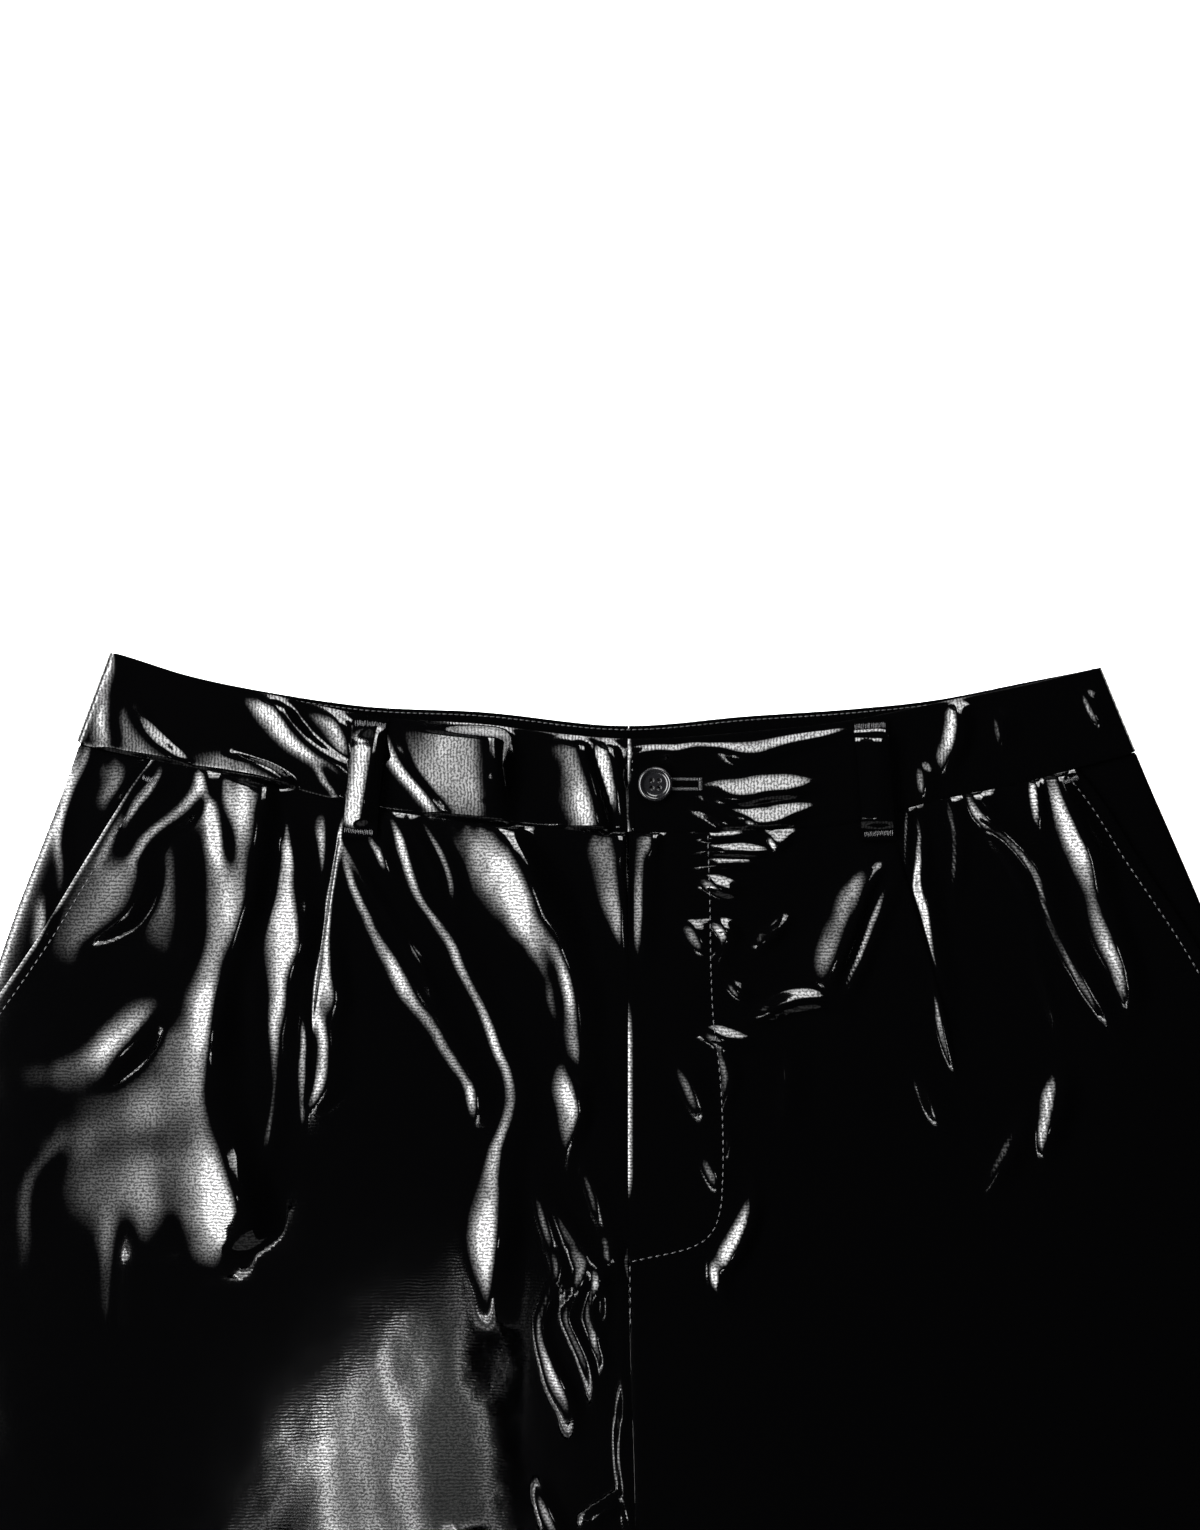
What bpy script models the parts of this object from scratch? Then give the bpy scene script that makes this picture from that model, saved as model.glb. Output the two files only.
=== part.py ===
"""Straight-leg trousers with two front pleats, laid flat with the front up.

The waist is towards +Y, the wearer's right leg is on the -X side and +Z is up.
The back lies on z = 0, and the front lies on the back. Sizes are in millimetres
and are placed in metres. A place on the cloth is (x, down), where down is
measured from the highest corner of the waist towards the hems.
"""

import math
from collections import namedtuple

import bpy
import numpy as np

MM = 0.001

# Driving dimensions, in millimetres.
LENGTH = 1110.0            # highest waist corner to hem
HALF_LENGTH = LENGTH / 2
CENTRE_X = 9.0             # centre front, centre back and the fly edge
CROTCH_DOWN = 392.0        # where the four leg panels meet
CROTCH_X = 12.0
CLOTH_WALL = 1.2
BAND_WALL = 1.8            # the waistband is folded and interfaced
LOOP_WALL = 1.2
SEAM_GAP = 0.3             # between pieces that are sewn edge to edge
LAY_GAP = 0.6              # between curved pieces that lie on each other
BAND_HEIGHT = 40.0

FLY_LAP = 6.0              # the right front runs this far under the fly edge
FLY_LAP_FADE = 8.0         # and its edge comes back to the seam over this length
FLY_END_DOWN = 264.0
FLY_FADE = 30.0            # length over which the lap runs out below the fly
UNDERLAP = 35.0            # right waistband past the fly edge, carries the button
UNDERLAP_RISE = 2.1        # the left side is lifted this much over the underlap
RISE_START_X = CENTRE_X + UNDERLAP + 5.0
RISE_END_X = RISE_START_X + 24.0

POCKET_END_DOWN = 162.0    # the slanted pocket runs out at the side seam here
FACING_UNDERLAP = 26.0     # pocket facing hidden under the front panel
FACING_END_DOWN = POCKET_END_DOWN + 10.0
FACING_TOP_GAP = 1.2       # clears the waistband's slanted side bend
FACING_FADE = 30.0         # the front comes down to the back below the facing
FACING_REACH = (60.0, 100.0)   # distance from the side over which the rise dies away
POCKET_RISE = CLOTH_WALL + LAY_GAP

BACK_Z = CLOTH_WALL / 2                       # middle of the back cloth
BACK_BAND_Z = LOOP_WALL + SEAM_GAP + BAND_WALL / 2
BAND_BEND_RADIUS = 1.5                        # waistband at the side, flattened
FRONT_BAND_Z = BACK_BAND_Z + 2 * BAND_BEND_RADIUS
FRONT_EDGE_Z = CLOTH_WALL * 1.5 + SEAM_GAP    # front cloth on back cloth
PUFF = 1.9                                    # air left between front and back
PUFF_REACH = 28.0                             # distance in from an edge to most of the puff
LEG_BLEND = (CROTCH_DOWN - 60.0, CROTCH_DOWN + 10.0)   # inner leg edges come down here
BAND_BLEND = 34.0                             # body cloth leaves the band's height here
LOOP_PLATEAU = 16.0                           # back cloth stays lifted over its loops
FLAT_REACH = (58.0, 80.0)                     # and is flat again near a side edge

BUTTON_X = 20.6
BUTTON_DOWN = 57.3
BUTTON_DIAMETER = 15.0
BUTTON_THICKNESS = 2.8
BUTTON_HOLE_DIAMETER = 1.7
BUTTON_HOLE_PITCH = 3.2
BUTTON_SIDES = 24
THREAD_DIAMETER = 1.9
BUTTONHOLE_LENGTH = 21.0
BUTTONHOLE_WIDTH = 3.2

LOOP_WIDTH = 15.0
LOOP_WAIST = 1.0           # the middle of a loop is this much narrower
LOOP_ARCH = 4.4            # free height for a belt under a front loop
LOOP_FOOT = 6.0
LOOP_RAMP = 7.0

# Outline of the laid garment: x of the side edges of the wearer's right and left.
SideRow = namedtuple("SideRow", "down right left")
SIDES = [
    SideRow(0.0, -216.6, 212.0),
    SideRow(6.6, -219.0, 214.4),
    SideRow(39.4, -230.6, 228.6),
    SideRow(60.0, -237.6, 237.1),
    SideRow(86.0, -247.6, 248.4),
    SideRow(110.0, -257.0, 258.6),
    SideRow(137.0, -266.3, 268.4),
    SideRow(180.0, -279.0, 280.5),
    SideRow(230.0, -290.0, 290.5),
    SideRow(290.0, -297.5, 297.5),
    SideRow(350.0, -300.0, 300.0),
    SideRow(500.0, -298.5, 299.5),
    SideRow(750.0, -294.0, 298.0),
    SideRow(LENGTH, -290.0, 297.0),
]

# Inner edge of each leg below the crotch.
InnerRow = namedtuple("InnerRow", "down right_leg left_leg")
INNER_LEGS = [
    InnerRow(CROTCH_DOWN, CROTCH_X, CROTCH_X),
    InnerRow(470.0, -3.0, 25.0),
    InnerRow(620.0, -19.0, 37.0),
    InnerRow(850.0, -32.0, 45.0),
    InnerRow(LENGTH, -41.0, 49.0),
]

# Top edges of the waistband and the seam under it, from side to side.
WaistRow = namedtuple("WaistRow", "x front_top back_top seam")
WAIST = [
    WaistRow(-231.0, -3.0, -3.0, 39.4),
    WaistRow(-216.6, 0.0, 0.0, 42.6),
    WaistRow(-184.0, 10.0, 9.8, 49.0),
    WaistRow(-144.0, 19.2, 18.0, 57.3),
    WaistRow(-108.0, 27.0, 23.2, 66.5),
    WaistRow(-56.0, 31.5, 25.8, 73.2),
    WaistRow(9.0, 37.8, 31.9, 77.9),
    WaistRow(62.0, 34.6, 27.6, 76.8),
    WaistRow(106.0, 29.6, 24.6, 74.0),
    WaistRow(142.0, 22.4, 20.8, 64.3),
    WaistRow(182.0, 14.2, 13.0, 56.0),
    WaistRow(214.4, 6.6, 6.6, 47.3),
    WaistRow(231.0, 3.0, 3.0, 42.9),
]

# Edge of each slanted pocket, from the waistband to the side seam.
PocketRow = namedtuple("PocketRow", "down right left")
POCKETS = [
    PocketRow(40.0, -194.0, 193.5),
    PocketRow(57.0, -206.5, 209.5),
    PocketRow(90.0, -227.5, 231.5),
    PocketRow(125.0, -249.0, 255.0),
    PocketRow(POCKET_END_DOWN, -274.5, 276.5),
]

# Sewn edge of each front pleat, and the line of its crease down the leg.
PleatRow = namedtuple("PleatRow", "down right left")
PLEATS = [
    PleatRow(60.0, -113.5, 119.0),
    PleatRow(90.0, -118.6, 127.5),
    PleatRow(125.0, -123.8, 138.0),
    PleatRow(170.0, -129.5, 149.5),
    PleatRow(260.0, -138.0, 158.0),
    PleatRow(400.0, -146.0, 162.0),
    PleatRow(LENGTH, -165.0, 173.0),
]
PLEAT_STEP = 1.5           # the sewn fold stands this high over the cloth beside it
PLEAT_SEWN_DOWN = {"right": 160.0, "left": 180.0}
PLEAT_FADE = 30.0
PLEAT_HALF_GAP = 1.0       # half the width of the step in plan

# Largest folds of the front: a soft ridge along a bowed line.
Fold = namedtuple("Fold", "x0 down0 x1 down1 bow half_width height")
FOLDS = {
    "hip_right": Fold(-168, 70, -222, 205, -8, 34, 1.6),
    "beside_pleat_right": Fold(-144, 62, -143, 194, 3, 13, 1.6),
    "pleat_mouth_right": Fold(-128, 156, -130, 202, 0, 9, 1.9),
    "pleat_ray_right": Fold(-112, 84, -63, 195, 4, 11, 1.4),
    "long_s_right": Fold(-94, 66, -50, 244, -14, 15, 2.0),
    "petal_right": Fold(-66, 78, -8, 205, -9, 15, 1.8),
    "thigh_sweep_right": Fold(-54, 206, -205, 400, 10, 36, 2.1),
    "thigh_wedge_right": Fold(-60, 250, -44, 384, 4, 20, 1.7),
    "crotch_right": Fold(-24, 232, -12, 340, 5, 14, 2.0),
    "knee_right": Fold(-262, 640, -78, 716, 16, 34, 1.6),
    "shin_right": Fold(-82, 800, -240, 890, -12, 30, 1.2),
    "ray_left": Fold(124, 88, 66, 158, -5, 13, 1.6),
    "pleat_side_left": Fold(134, 92, 156, 188, 3, 11, 1.2),
    "long_s_left": Fold(157, 68, 224, 200, 8, 13, 1.8),
    "pocket_left": Fold(192, 62, 218, 146, 4, 11, 1.4),
    "fly_left": Fold(64, 232, 46, 276, 0, 10, 1.4),
    "hip_left": Fold(196, 176, 172, 232, 4, 15, 1.5),
    "thigh_sweep_left": Fold(60, 262, 196, 412, -12, 38, 1.9),
    "crotch_left": Fold(34, 262, 24, 352, 4, 14, 1.5),
    "knee_left": Fold(272, 660, 84, 610, 14, 34, 1.5),
    "shin_left": Fold(92, 840, 250, 900, -12, 30, 1.2),
}
FOLD_TAPER = 0.28          # part of a fold's length over which each end dies away

# Belt loops: centre of each end. A back loop lies flat under the back waistband.
Loop = namedtuple("Loop", "x_top x_bottom down_top down_bottom")
FRONT_LOOPS = {
    "belt_loop_front_right": Loop(-103.5, -108.5, 28.8, 80.5),
    "belt_loop_front_left": Loop(114.2, 118.0, 29.6, 81.5),
}
BACK_LOOPS = {
    "belt_loop_back_right": Loop(-128.0, -131.0, 21.5, 72.5),
    "belt_loop_back_center": Loop(CENTRE_X, CENTRE_X, 33.0, 84.0),
    "belt_loop_back_left": Loop(146.0, 149.0, 21.5, 72.5),
}

# Grid sizes: cells across and along each kind of piece.
SEAM_FADE = 130.0          # rows are straight this far below a panel's top
SEAM_STEPS = 12            # rounds of solving x and down together
PANEL_TOP_DOWN = 60.0      # nominal down of a panel's top row, before it follows the seam
FRONT_CELLS = (7, 9)       # side edge to pleat, pleat to centre
FRONT_ROWS = (4, 16, 12)
FRONT_ROW_BREAKS = (PANEL_TOP_DOWN, 100.0, 412.0, LENGTH)
BACK_CELLS = 12
BACK_ROWS = (1, 1, 6, 7)
BACK_ROW_BREAKS = (PANEL_TOP_DOWN, 78.0, 102.0, 412.0, LENGTH)
BAND_CELLS = (18, 6, 12)   # front run, bend at the side, back run
BAND_ROWS = 3
BAND_CORNERS = {"right": (-216.6, -231.0), "left": (214.4, 229.6)}   # x, top and lower edge
FACING_CELLS = (4, 8)
LOOP_CELLS = (2, 14)

CLOTH_COLOR = (0.006, 0.006, 0.007)
BUTTON_COLOR = (0.012, 0.011, 0.011)
THREAD_COLOR = (0.010, 0.010, 0.010)


def smoothstep(low, high, value):
    """Goes from 0 at low to 1 at high with flat ends."""
    t = np.clip((value - low) / (high - low), 0.0, 1.0)
    return t * t * (3.0 - 2.0 * t)


def column(rows, name):
    return np.array([getattr(row, name) for row in rows], dtype=float)


def curve(stations, values, at):
    """Cubic Hermite curve through the stations, with slopes from its neighbours."""
    slopes = np.gradient(values, stations)
    at = np.clip(at, stations[0], stations[-1])
    cell = np.clip(np.searchsorted(stations, at) - 1, 0, len(stations) - 2)
    span = stations[cell + 1] - stations[cell]
    t = (at - stations[cell]) / span
    ends = values[cell] * (1 + 2 * t) * (1 - t) ** 2 + values[cell + 1] * t * t * (3 - 2 * t)
    tangents = slopes[cell] * t * (1 - t) ** 2 - slopes[cell + 1] * t * t * (1 - t)
    return ends + span * tangents


def side_x(side, down):
    return curve(column(SIDES, "down"), column(SIDES, side), down)


def side_distance(x, down):
    return np.minimum(x - side_x("right", down), side_x("left", down) - x)


def pocket_x(side, down):
    return curve(column(POCKETS, "down"), column(POCKETS, side), down)


def pleat_x(side, down):
    return curve(column(PLEATS, "down"), column(PLEATS, side), down)


def waist(name, x):
    return curve(column(WAIST, "x"), column(WAIST, name), x)


def inner_leg_x(side, down):
    return curve(column(INNER_LEGS, "down"), column(INNER_LEGS, side + "_leg"), down)


def seat_x(down):
    """Centre seam, which drifts a little on its way to the crotch."""
    return CENTRE_X + (CROTCH_X - CENTRE_X) * smoothstep(FLY_END_DOWN, CROTCH_DOWN, down)


def fold_height(x, down):
    """Sum of the soft ridges: a bell across each bowed line, dying away at its ends."""
    total = np.zeros(np.broadcast(x, down).shape)
    for fold in FOLDS.values():
        run = np.array([fold.x1 - fold.x0, fold.down1 - fold.down0], dtype=float)
        length = math.hypot(*run)
        run /= length
        along = ((x - fold.x0) * run[0] + (down - fold.down0) * run[1]) / length
        across = (x - fold.x0) * run[1] - (down - fold.down0) * run[0]
        q = np.clip(along, 0.0, 1.0)
        offset = (across - fold.bow * 4.0 * q * (1.0 - q)) / fold.half_width
        ends = smoothstep(0.0, FOLD_TAPER, along) * smoothstep(0.0, FOLD_TAPER, 1.0 - along)
        total += fold.height * np.exp(-offset * offset) * ends
    return total


def left_rise(x, down):
    """Lift of the wearer's left side where it laps over the right."""
    across = 1.0 - smoothstep(RISE_START_X, RISE_END_X, x)
    return UNDERLAP_RISE * across * (1.0 - smoothstep(FLY_END_DOWN, FLY_END_DOWN + FLY_FADE, down))


def front_z(side, x, down):
    """Middle of the front cloth: puffed between its edges, folded, and level with
    the waistband at the top."""
    edge = side_distance(x, down)
    inner = np.abs(inner_leg_x(side, down) - x)
    inner = inner + HALF_LENGTH * (1.0 - smoothstep(*LEG_BLEND, down))
    reach = np.clip(np.minimum(edge, inner), 0.0, None) / PUFF_REACH
    pocket = POCKET_RISE * (1.0 - smoothstep(FACING_END_DOWN, FACING_END_DOWN + FACING_FADE, down))
    pocket = pocket * (1.0 - smoothstep(*FACING_REACH, edge))
    seam_fade = smoothstep(0.0, BAND_BLEND, down - waist("seam", x))
    body = FRONT_EDGE_Z + pocket + (PUFF + fold_height(x, down)) * (1.0 - np.exp(-reach))
    sewn = PLEAT_SEWN_DOWN[side]
    step = PLEAT_STEP * (1.0 - smoothstep(sewn, sewn + PLEAT_FADE, down))
    towards_centre = (x - pleat_x(side, down)) * (1.0 if side == "right" else -1.0)
    body = body + step * smoothstep(-PLEAT_HALF_GAP, PLEAT_HALF_GAP, towards_centre)
    z = FRONT_BAND_Z + (body - FRONT_BAND_Z) * seam_fade
    if side == "left":
        z = z + left_rise(x, down)
    return z


def back_z(x, down):
    """Middle of the back cloth: flat, and lifted over the ends of its belt loops."""
    below = down - (waist("back_top", x) + BAND_HEIGHT)
    lift = 1.0 - smoothstep(LOOP_PLATEAU, 2.5 * LOOP_PLATEAU, below)
    lift = lift * smoothstep(*FLAT_REACH, side_distance(x, down))
    return BACK_Z + (BACK_BAND_Z - BACK_Z) * lift


def new_material(name, color, roughness):
    material = bpy.data.materials.new(name)
    material.use_nodes = True
    shader = material.node_tree.nodes["Principled BSDF"]
    shader.inputs["Base Color"].default_value = (*color, 1.0)
    shader.inputs["Roughness"].default_value = roughness
    shader.inputs["Metallic"].default_value = 0.0
    return material


def finish(obj, name, color, roughness, collection):
    obj.name = name
    obj.data.name = name
    obj.data.materials.clear()
    obj.data.materials.append(new_material(name, color, roughness))
    for owner in list(obj.users_collection):
        owner.objects.unlink(obj)
    collection.objects.link(obj)
    return obj


def grid_piece(name, cells, place, wall, collection):
    """A cloth wall. place(u, v) gives x, down and z of its middle for arrays of
    u and v from 0 to 1; cells are the grid's cells along u and v."""
    bpy.ops.mesh.primitive_grid_add(x_subdivisions=cells[0], y_subdivisions=cells[1], size=1.0)
    piece = bpy.context.object
    flat = np.empty(len(piece.data.vertices) * 3)
    piece.data.vertices.foreach_get("co", flat)
    flat = flat.reshape(-1, 3)
    x, down, z = place(flat[:, 0] + 0.5, 0.5 - flat[:, 1])
    points = np.stack([x, HALF_LENGTH - down, z], axis=1) * MM
    piece.data.vertices.foreach_set("co", points.ravel())
    piece.data.update()
    solid = piece.modifiers.new("wall", "SOLIDIFY")
    solid.thickness = wall * MM
    solid.offset = 0.0
    solid.use_even_offset = True
    return finish(piece, name, CLOTH_COLOR, 0.22, collection)


def row_down(v, breaks, rows):
    """Down of a row of a panel, with evenly spaced rows between the breaks."""
    ends = np.concatenate([[0], np.cumsum(rows)])
    return np.interp(v * ends[-1], ends, breaks)


def follow_seam(across, nominal, seam, between):
    """Bends straight rows to follow the curved waist seam at the top of a panel.
    between(across, down) gives x, so x and down are solved together."""
    fade = 1.0 - smoothstep(PANEL_TOP_DOWN, PANEL_TOP_DOWN + SEAM_FADE, nominal)
    down = nominal
    for _ in range(SEAM_STEPS):
        x = between(across, down)
        down = nominal + (seam(x) + SEAM_GAP - PANEL_TOP_DOWN) * fade
    return between(across, down), down


def front_panel(side, collection):
    """One front: from the pocket edge and side seam to the fly and the inner leg."""
    inward = 1.0 if side == "right" else -1.0

    def inner_edge(down):
        seat = seat_x(down)
        if side == "right":
            sewn = smoothstep(FLY_END_DOWN - FLY_LAP_FADE, FLY_END_DOWN, down)
            seat = seat + FLY_LAP * (1.0 - sewn) - SEAM_GAP / 2 * sewn
        else:
            seat = seat + SEAM_GAP / 2
        leg = inner_leg_x(side, down) - inward * SEAM_GAP / 2
        return np.where(down < CROTCH_DOWN, seat, leg)

    def outer_edge(down):
        pocket = pocket_x(side, down)
        seam = side_x(side, down)
        chosen = np.maximum(pocket, seam) if side == "right" else np.minimum(pocket, seam)
        return np.where(down < POCKET_END_DOWN, chosen, seam)

    def between(across, down):
        outer = outer_edge(down)
        inner = inner_edge(down)
        pleat = pleat_x(side, down)
        cell = across * (sum(FRONT_CELLS) + 1)
        first, last = FRONT_CELLS
        before = outer + (pleat - inward * PLEAT_HALF_GAP - outer) * cell / first
        after = (cell - first - 1) / last
        after = pleat + inward * PLEAT_HALF_GAP + (inner - pleat - inward * PLEAT_HALF_GAP) * after
        return np.where(cell < first + 0.5, before, after)

    def place(u, v):
        across = u if side == "right" else 1.0 - u
        nominal = row_down(v, FRONT_ROW_BREAKS, FRONT_ROWS)
        x, down = follow_seam(across, nominal, lambda at: waist("seam", at), between)
        return x, down, front_z(side, x, down)

    cells = (sum(FRONT_CELLS) + 1, sum(FRONT_ROWS))
    return grid_piece("front_" + side, cells, place, CLOTH_WALL, collection)


def back_panel(side, collection):
    """One back: flat on the ground, from side seam to centre back and inner leg."""
    inward = 1.0 if side == "right" else -1.0

    def back_seam(at):
        return waist("back_top", at) + BAND_HEIGHT

    def between(across, down):
        outer = side_x(side, down)
        inner = np.where(down < CROTCH_DOWN, seat_x(down), inner_leg_x(side, down))
        return outer + (inner - inward * SEAM_GAP / 2 - outer) * across

    def place(u, v):
        across = u if side == "right" else 1.0 - u
        nominal = row_down(v, BACK_ROW_BREAKS, BACK_ROWS)
        x, down = follow_seam(across, nominal, back_seam, between)
        return x, down, back_z(x, down)

    return grid_piece("back_" + side, (BACK_CELLS, sum(BACK_ROWS)), place, CLOTH_WALL, collection)


def pocket_facing(side, collection):
    """The hip piece seen behind the slanted pocket, hidden edge under the front."""
    inward = 1.0 if side == "right" else -1.0

    def place(u, v):
        across = u if side == "right" else 1.0 - u
        down = PANEL_TOP_DOWN + (FACING_END_DOWN - PANEL_TOP_DOWN) * v
        for _ in range(SEAM_STEPS):
            outer = side_x(side, down)
            inner = pocket_x(side, down) + inward * FACING_UNDERLAP
            x = outer + (inner - outer) * across
            start = waist("seam", x) + FACING_TOP_GAP
            down = start + (FACING_END_DOWN - start) * v
        return x, down, front_z(side, x, down) - POCKET_RISE

    return grid_piece("pocket_facing_" + side, FACING_CELLS, place, CLOTH_WALL, collection)


def waistband(side, collection):
    """Half of the waistband: from the centre front, round the side, to centre back."""
    inward = 1.0 if side == "right" else -1.0
    front_end = CENTRE_X + UNDERLAP if side == "right" else CENTRE_X
    back_end = CENTRE_X - inward * SEAM_GAP / 2
    run_cells, bend_cells, back_cells = BAND_CELLS
    top_corner, low_corner = BAND_CORNERS[side]

    def place(u, v):
        cell = (1.0 - u if side == "right" else u) * sum(BAND_CELLS)
        on_front = np.clip(cell / run_cells, 0.0, 1.0)
        turn = np.clip((cell - run_cells) / bend_cells, 0.0, 1.0) * math.pi
        on_back = np.clip((cell - run_cells - bend_cells) / back_cells, 0.0, 1.0)
        corner = top_corner + (low_corner - top_corner) * v
        start = corner + inward * BAND_BEND_RADIUS
        x = front_end + (start - front_end) * on_front
        x = x - inward * BAND_BEND_RADIUS * np.sin(turn) + (back_end - start) * on_back
        front_down = waist("front_top", x) * (1 - v) + waist("seam", x) * v
        back_top = waist("back_top", x)
        back_down = back_top + BAND_HEIGHT * v
        mix = smoothstep(0.0, math.pi, turn)
        side_down = front_down + (back_down - front_down) * mix
        z = BACK_BAND_Z + BAND_BEND_RADIUS * (1.0 + np.cos(turn))
        if side == "left":
            z = z + left_rise(x, 0.0) * np.where(turn > 0.0, 0.0, 1.0)
        return x, side_down, z

    cells = (sum(BAND_CELLS), BAND_ROWS)
    return grid_piece("waistband_" + side, cells, place, BAND_WALL, collection)


def front_surface_top(x, down):
    """Top of what a front belt loop lies on: the waistband, then the body cloth."""
    side = "right" if np.mean(x) < CENTRE_X else "left"
    seam = waist("seam", x)
    band = FRONT_BAND_Z + BAND_WALL / 2
    body = front_z(side, x, down) + CLOTH_WALL / 2
    return np.where(down < seam, band, np.maximum(body, band))


def belt_loop(name, loop, arch, collection):
    """A sewn strip. A front loop has flat feet and an arch that a belt passes under."""
    length = loop.down_bottom - loop.down_top

    def place(u, v):
        centre = loop.x_top + (loop.x_bottom - loop.x_top) * v
        width = LOOP_WIDTH - LOOP_WAIST * 4.0 * v * (1.0 - v)
        x = centre + (u - 0.5) * width
        down = loop.down_top + length * v
        if arch == 0.0:
            return x, down, np.full(x.shape, LOOP_WALL / 2)
        run = v * length
        rise = smoothstep(LOOP_FOOT, LOOP_FOOT + LOOP_RAMP, run)
        fall = smoothstep(LOOP_FOOT, LOOP_FOOT + LOOP_RAMP, length - run)
        level = front_surface_top(x, down) + LAY_GAP + LOOP_WALL / 2
        return x, down, level + arch * rise * fall

    return grid_piece(name, LOOP_CELLS, place, LOOP_WALL, collection)


def cylinder(name, radius, low, high, x, down, sides):
    bpy.ops.mesh.primitive_cylinder_add(vertices=sides, radius=radius * MM, depth=(high - low) * MM)
    piece = bpy.context.object
    piece.name = name
    piece.location = (x * MM, (HALF_LENGTH - down) * MM, (high + low) / 2 * MM)
    return piece


def cut(piece, cutter, collection):
    """Takes the cutter's shape out of the piece and files the cutter away."""
    for owner in list(cutter.users_collection):
        owner.objects.unlink(cutter)
    collection.objects.link(cutter)
    cutter.hide_render = True
    cutter.display_type = "WIRE"
    boolean = piece.modifiers.new(cutter.name, "BOOLEAN")
    boolean.operation = "DIFFERENCE"
    boolean.solver = "EXACT"
    boolean.object = cutter


def buttonhole(band, cutters):
    """A straight slot in the left waistband; the button's thread sits in its inner end."""
    bpy.ops.mesh.primitive_cube_add(size=1.0)
    slot = bpy.context.object
    slot.name = "buttonhole_cut"
    slot.scale = (BUTTONHOLE_LENGTH * MM, BUTTONHOLE_WIDTH * MM, 3 * BAND_WALL * MM)
    middle_x = BUTTON_X - BUTTONHOLE_WIDTH / 2 + BUTTONHOLE_LENGTH / 2
    level = FRONT_BAND_Z + UNDERLAP_RISE
    slot.location = (middle_x * MM, (HALF_LENGTH - BUTTON_DOWN) * MM, level * MM)
    cut(band, slot, cutters)


def button(collection, cutters):
    """A four-hole button: a turned disc with a raised rim and a dished middle."""
    base = FRONT_BAND_Z + UNDERLAP_RISE + BAND_WALL / 2 + LAY_GAP
    radius = BUTTON_DIAMETER / 2
    profile = [
        (0.0, 0.55 * BUTTON_THICKNESS),
        (0.52 * radius, 0.58 * BUTTON_THICKNESS),
        (0.68 * radius, 0.92 * BUTTON_THICKNESS),
        (0.80 * radius, BUTTON_THICKNESS),
        (0.93 * radius, 0.88 * BUTTON_THICKNESS),
        (radius, 0.55 * BUTTON_THICKNESS),
        (0.92 * radius, 0.18 * BUTTON_THICKNESS),
        (0.70 * radius, 0.0),
        (0.0, 0.0),
    ]
    mesh = bpy.data.meshes.new("button")
    points = [(r * MM, 0.0, (base + z) * MM) for r, z in profile]
    mesh.from_pydata(points, [(i, i + 1) for i in range(len(points) - 1)], [])
    disc = bpy.data.objects.new("button", mesh)
    collection.objects.link(disc)
    disc.location = (BUTTON_X * MM, (HALF_LENGTH - BUTTON_DOWN) * MM, 0.0)
    turn = disc.modifiers.new("turn", "SCREW")
    turn.steps = BUTTON_SIDES
    turn.render_steps = BUTTON_SIDES
    turn.use_merge_vertices = True
    turn.merge_threshold = 0.00001
    for i in range(4):
        angle = math.radians(45 + 90 * i)
        reach = BUTTON_HOLE_PITCH / math.sqrt(2)
        hole = cylinder("button_hole_cut_%d" % (i + 1), BUTTON_HOLE_DIAMETER / 2,
                        base - 1.0, base + BUTTON_THICKNESS + 1.0,
                        BUTTON_X + reach * math.cos(angle), BUTTON_DOWN + reach * math.sin(angle), 8)
        cut(disc, hole, cutters)
    return finish(disc, "button", BUTTON_COLOR, 0.3, collection)


def button_thread(collection):
    """The sewn shank that holds the button on the underlap, through the buttonhole."""
    low = FRONT_BAND_Z + BAND_WALL / 2 + SEAM_GAP
    high = FRONT_BAND_Z + UNDERLAP_RISE + BAND_WALL / 2 + LAY_GAP - SEAM_GAP
    shank = cylinder("button_thread", THREAD_DIAMETER / 2, low, high, BUTTON_X, BUTTON_DOWN, 10)
    return finish(shank, "button_thread", THREAD_COLOR, 0.8, collection)


def main():
    for obj in list(bpy.data.objects):
        bpy.data.objects.remove(obj, do_unlink=True)
    trousers = bpy.data.collections.new("trousers")
    cutters = bpy.data.collections.new("cutters")
    bpy.context.scene.collection.children.link(trousers)
    bpy.context.scene.collection.children.link(cutters)
    bands = {}
    for side in ("right", "left"):
        back_panel(side, trousers)
        front_panel(side, trousers)
        pocket_facing(side, trousers)
        bands[side] = waistband(side, trousers)
    buttonhole(bands["left"], cutters)
    for name, loop in FRONT_LOOPS.items():
        belt_loop(name, loop, LOOP_ARCH, trousers)
    for name, loop in BACK_LOOPS.items():
        belt_loop(name, loop, 0.0, trousers)
    button(trousers, cutters)
    button_thread(trousers)


main()
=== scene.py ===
import math

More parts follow.
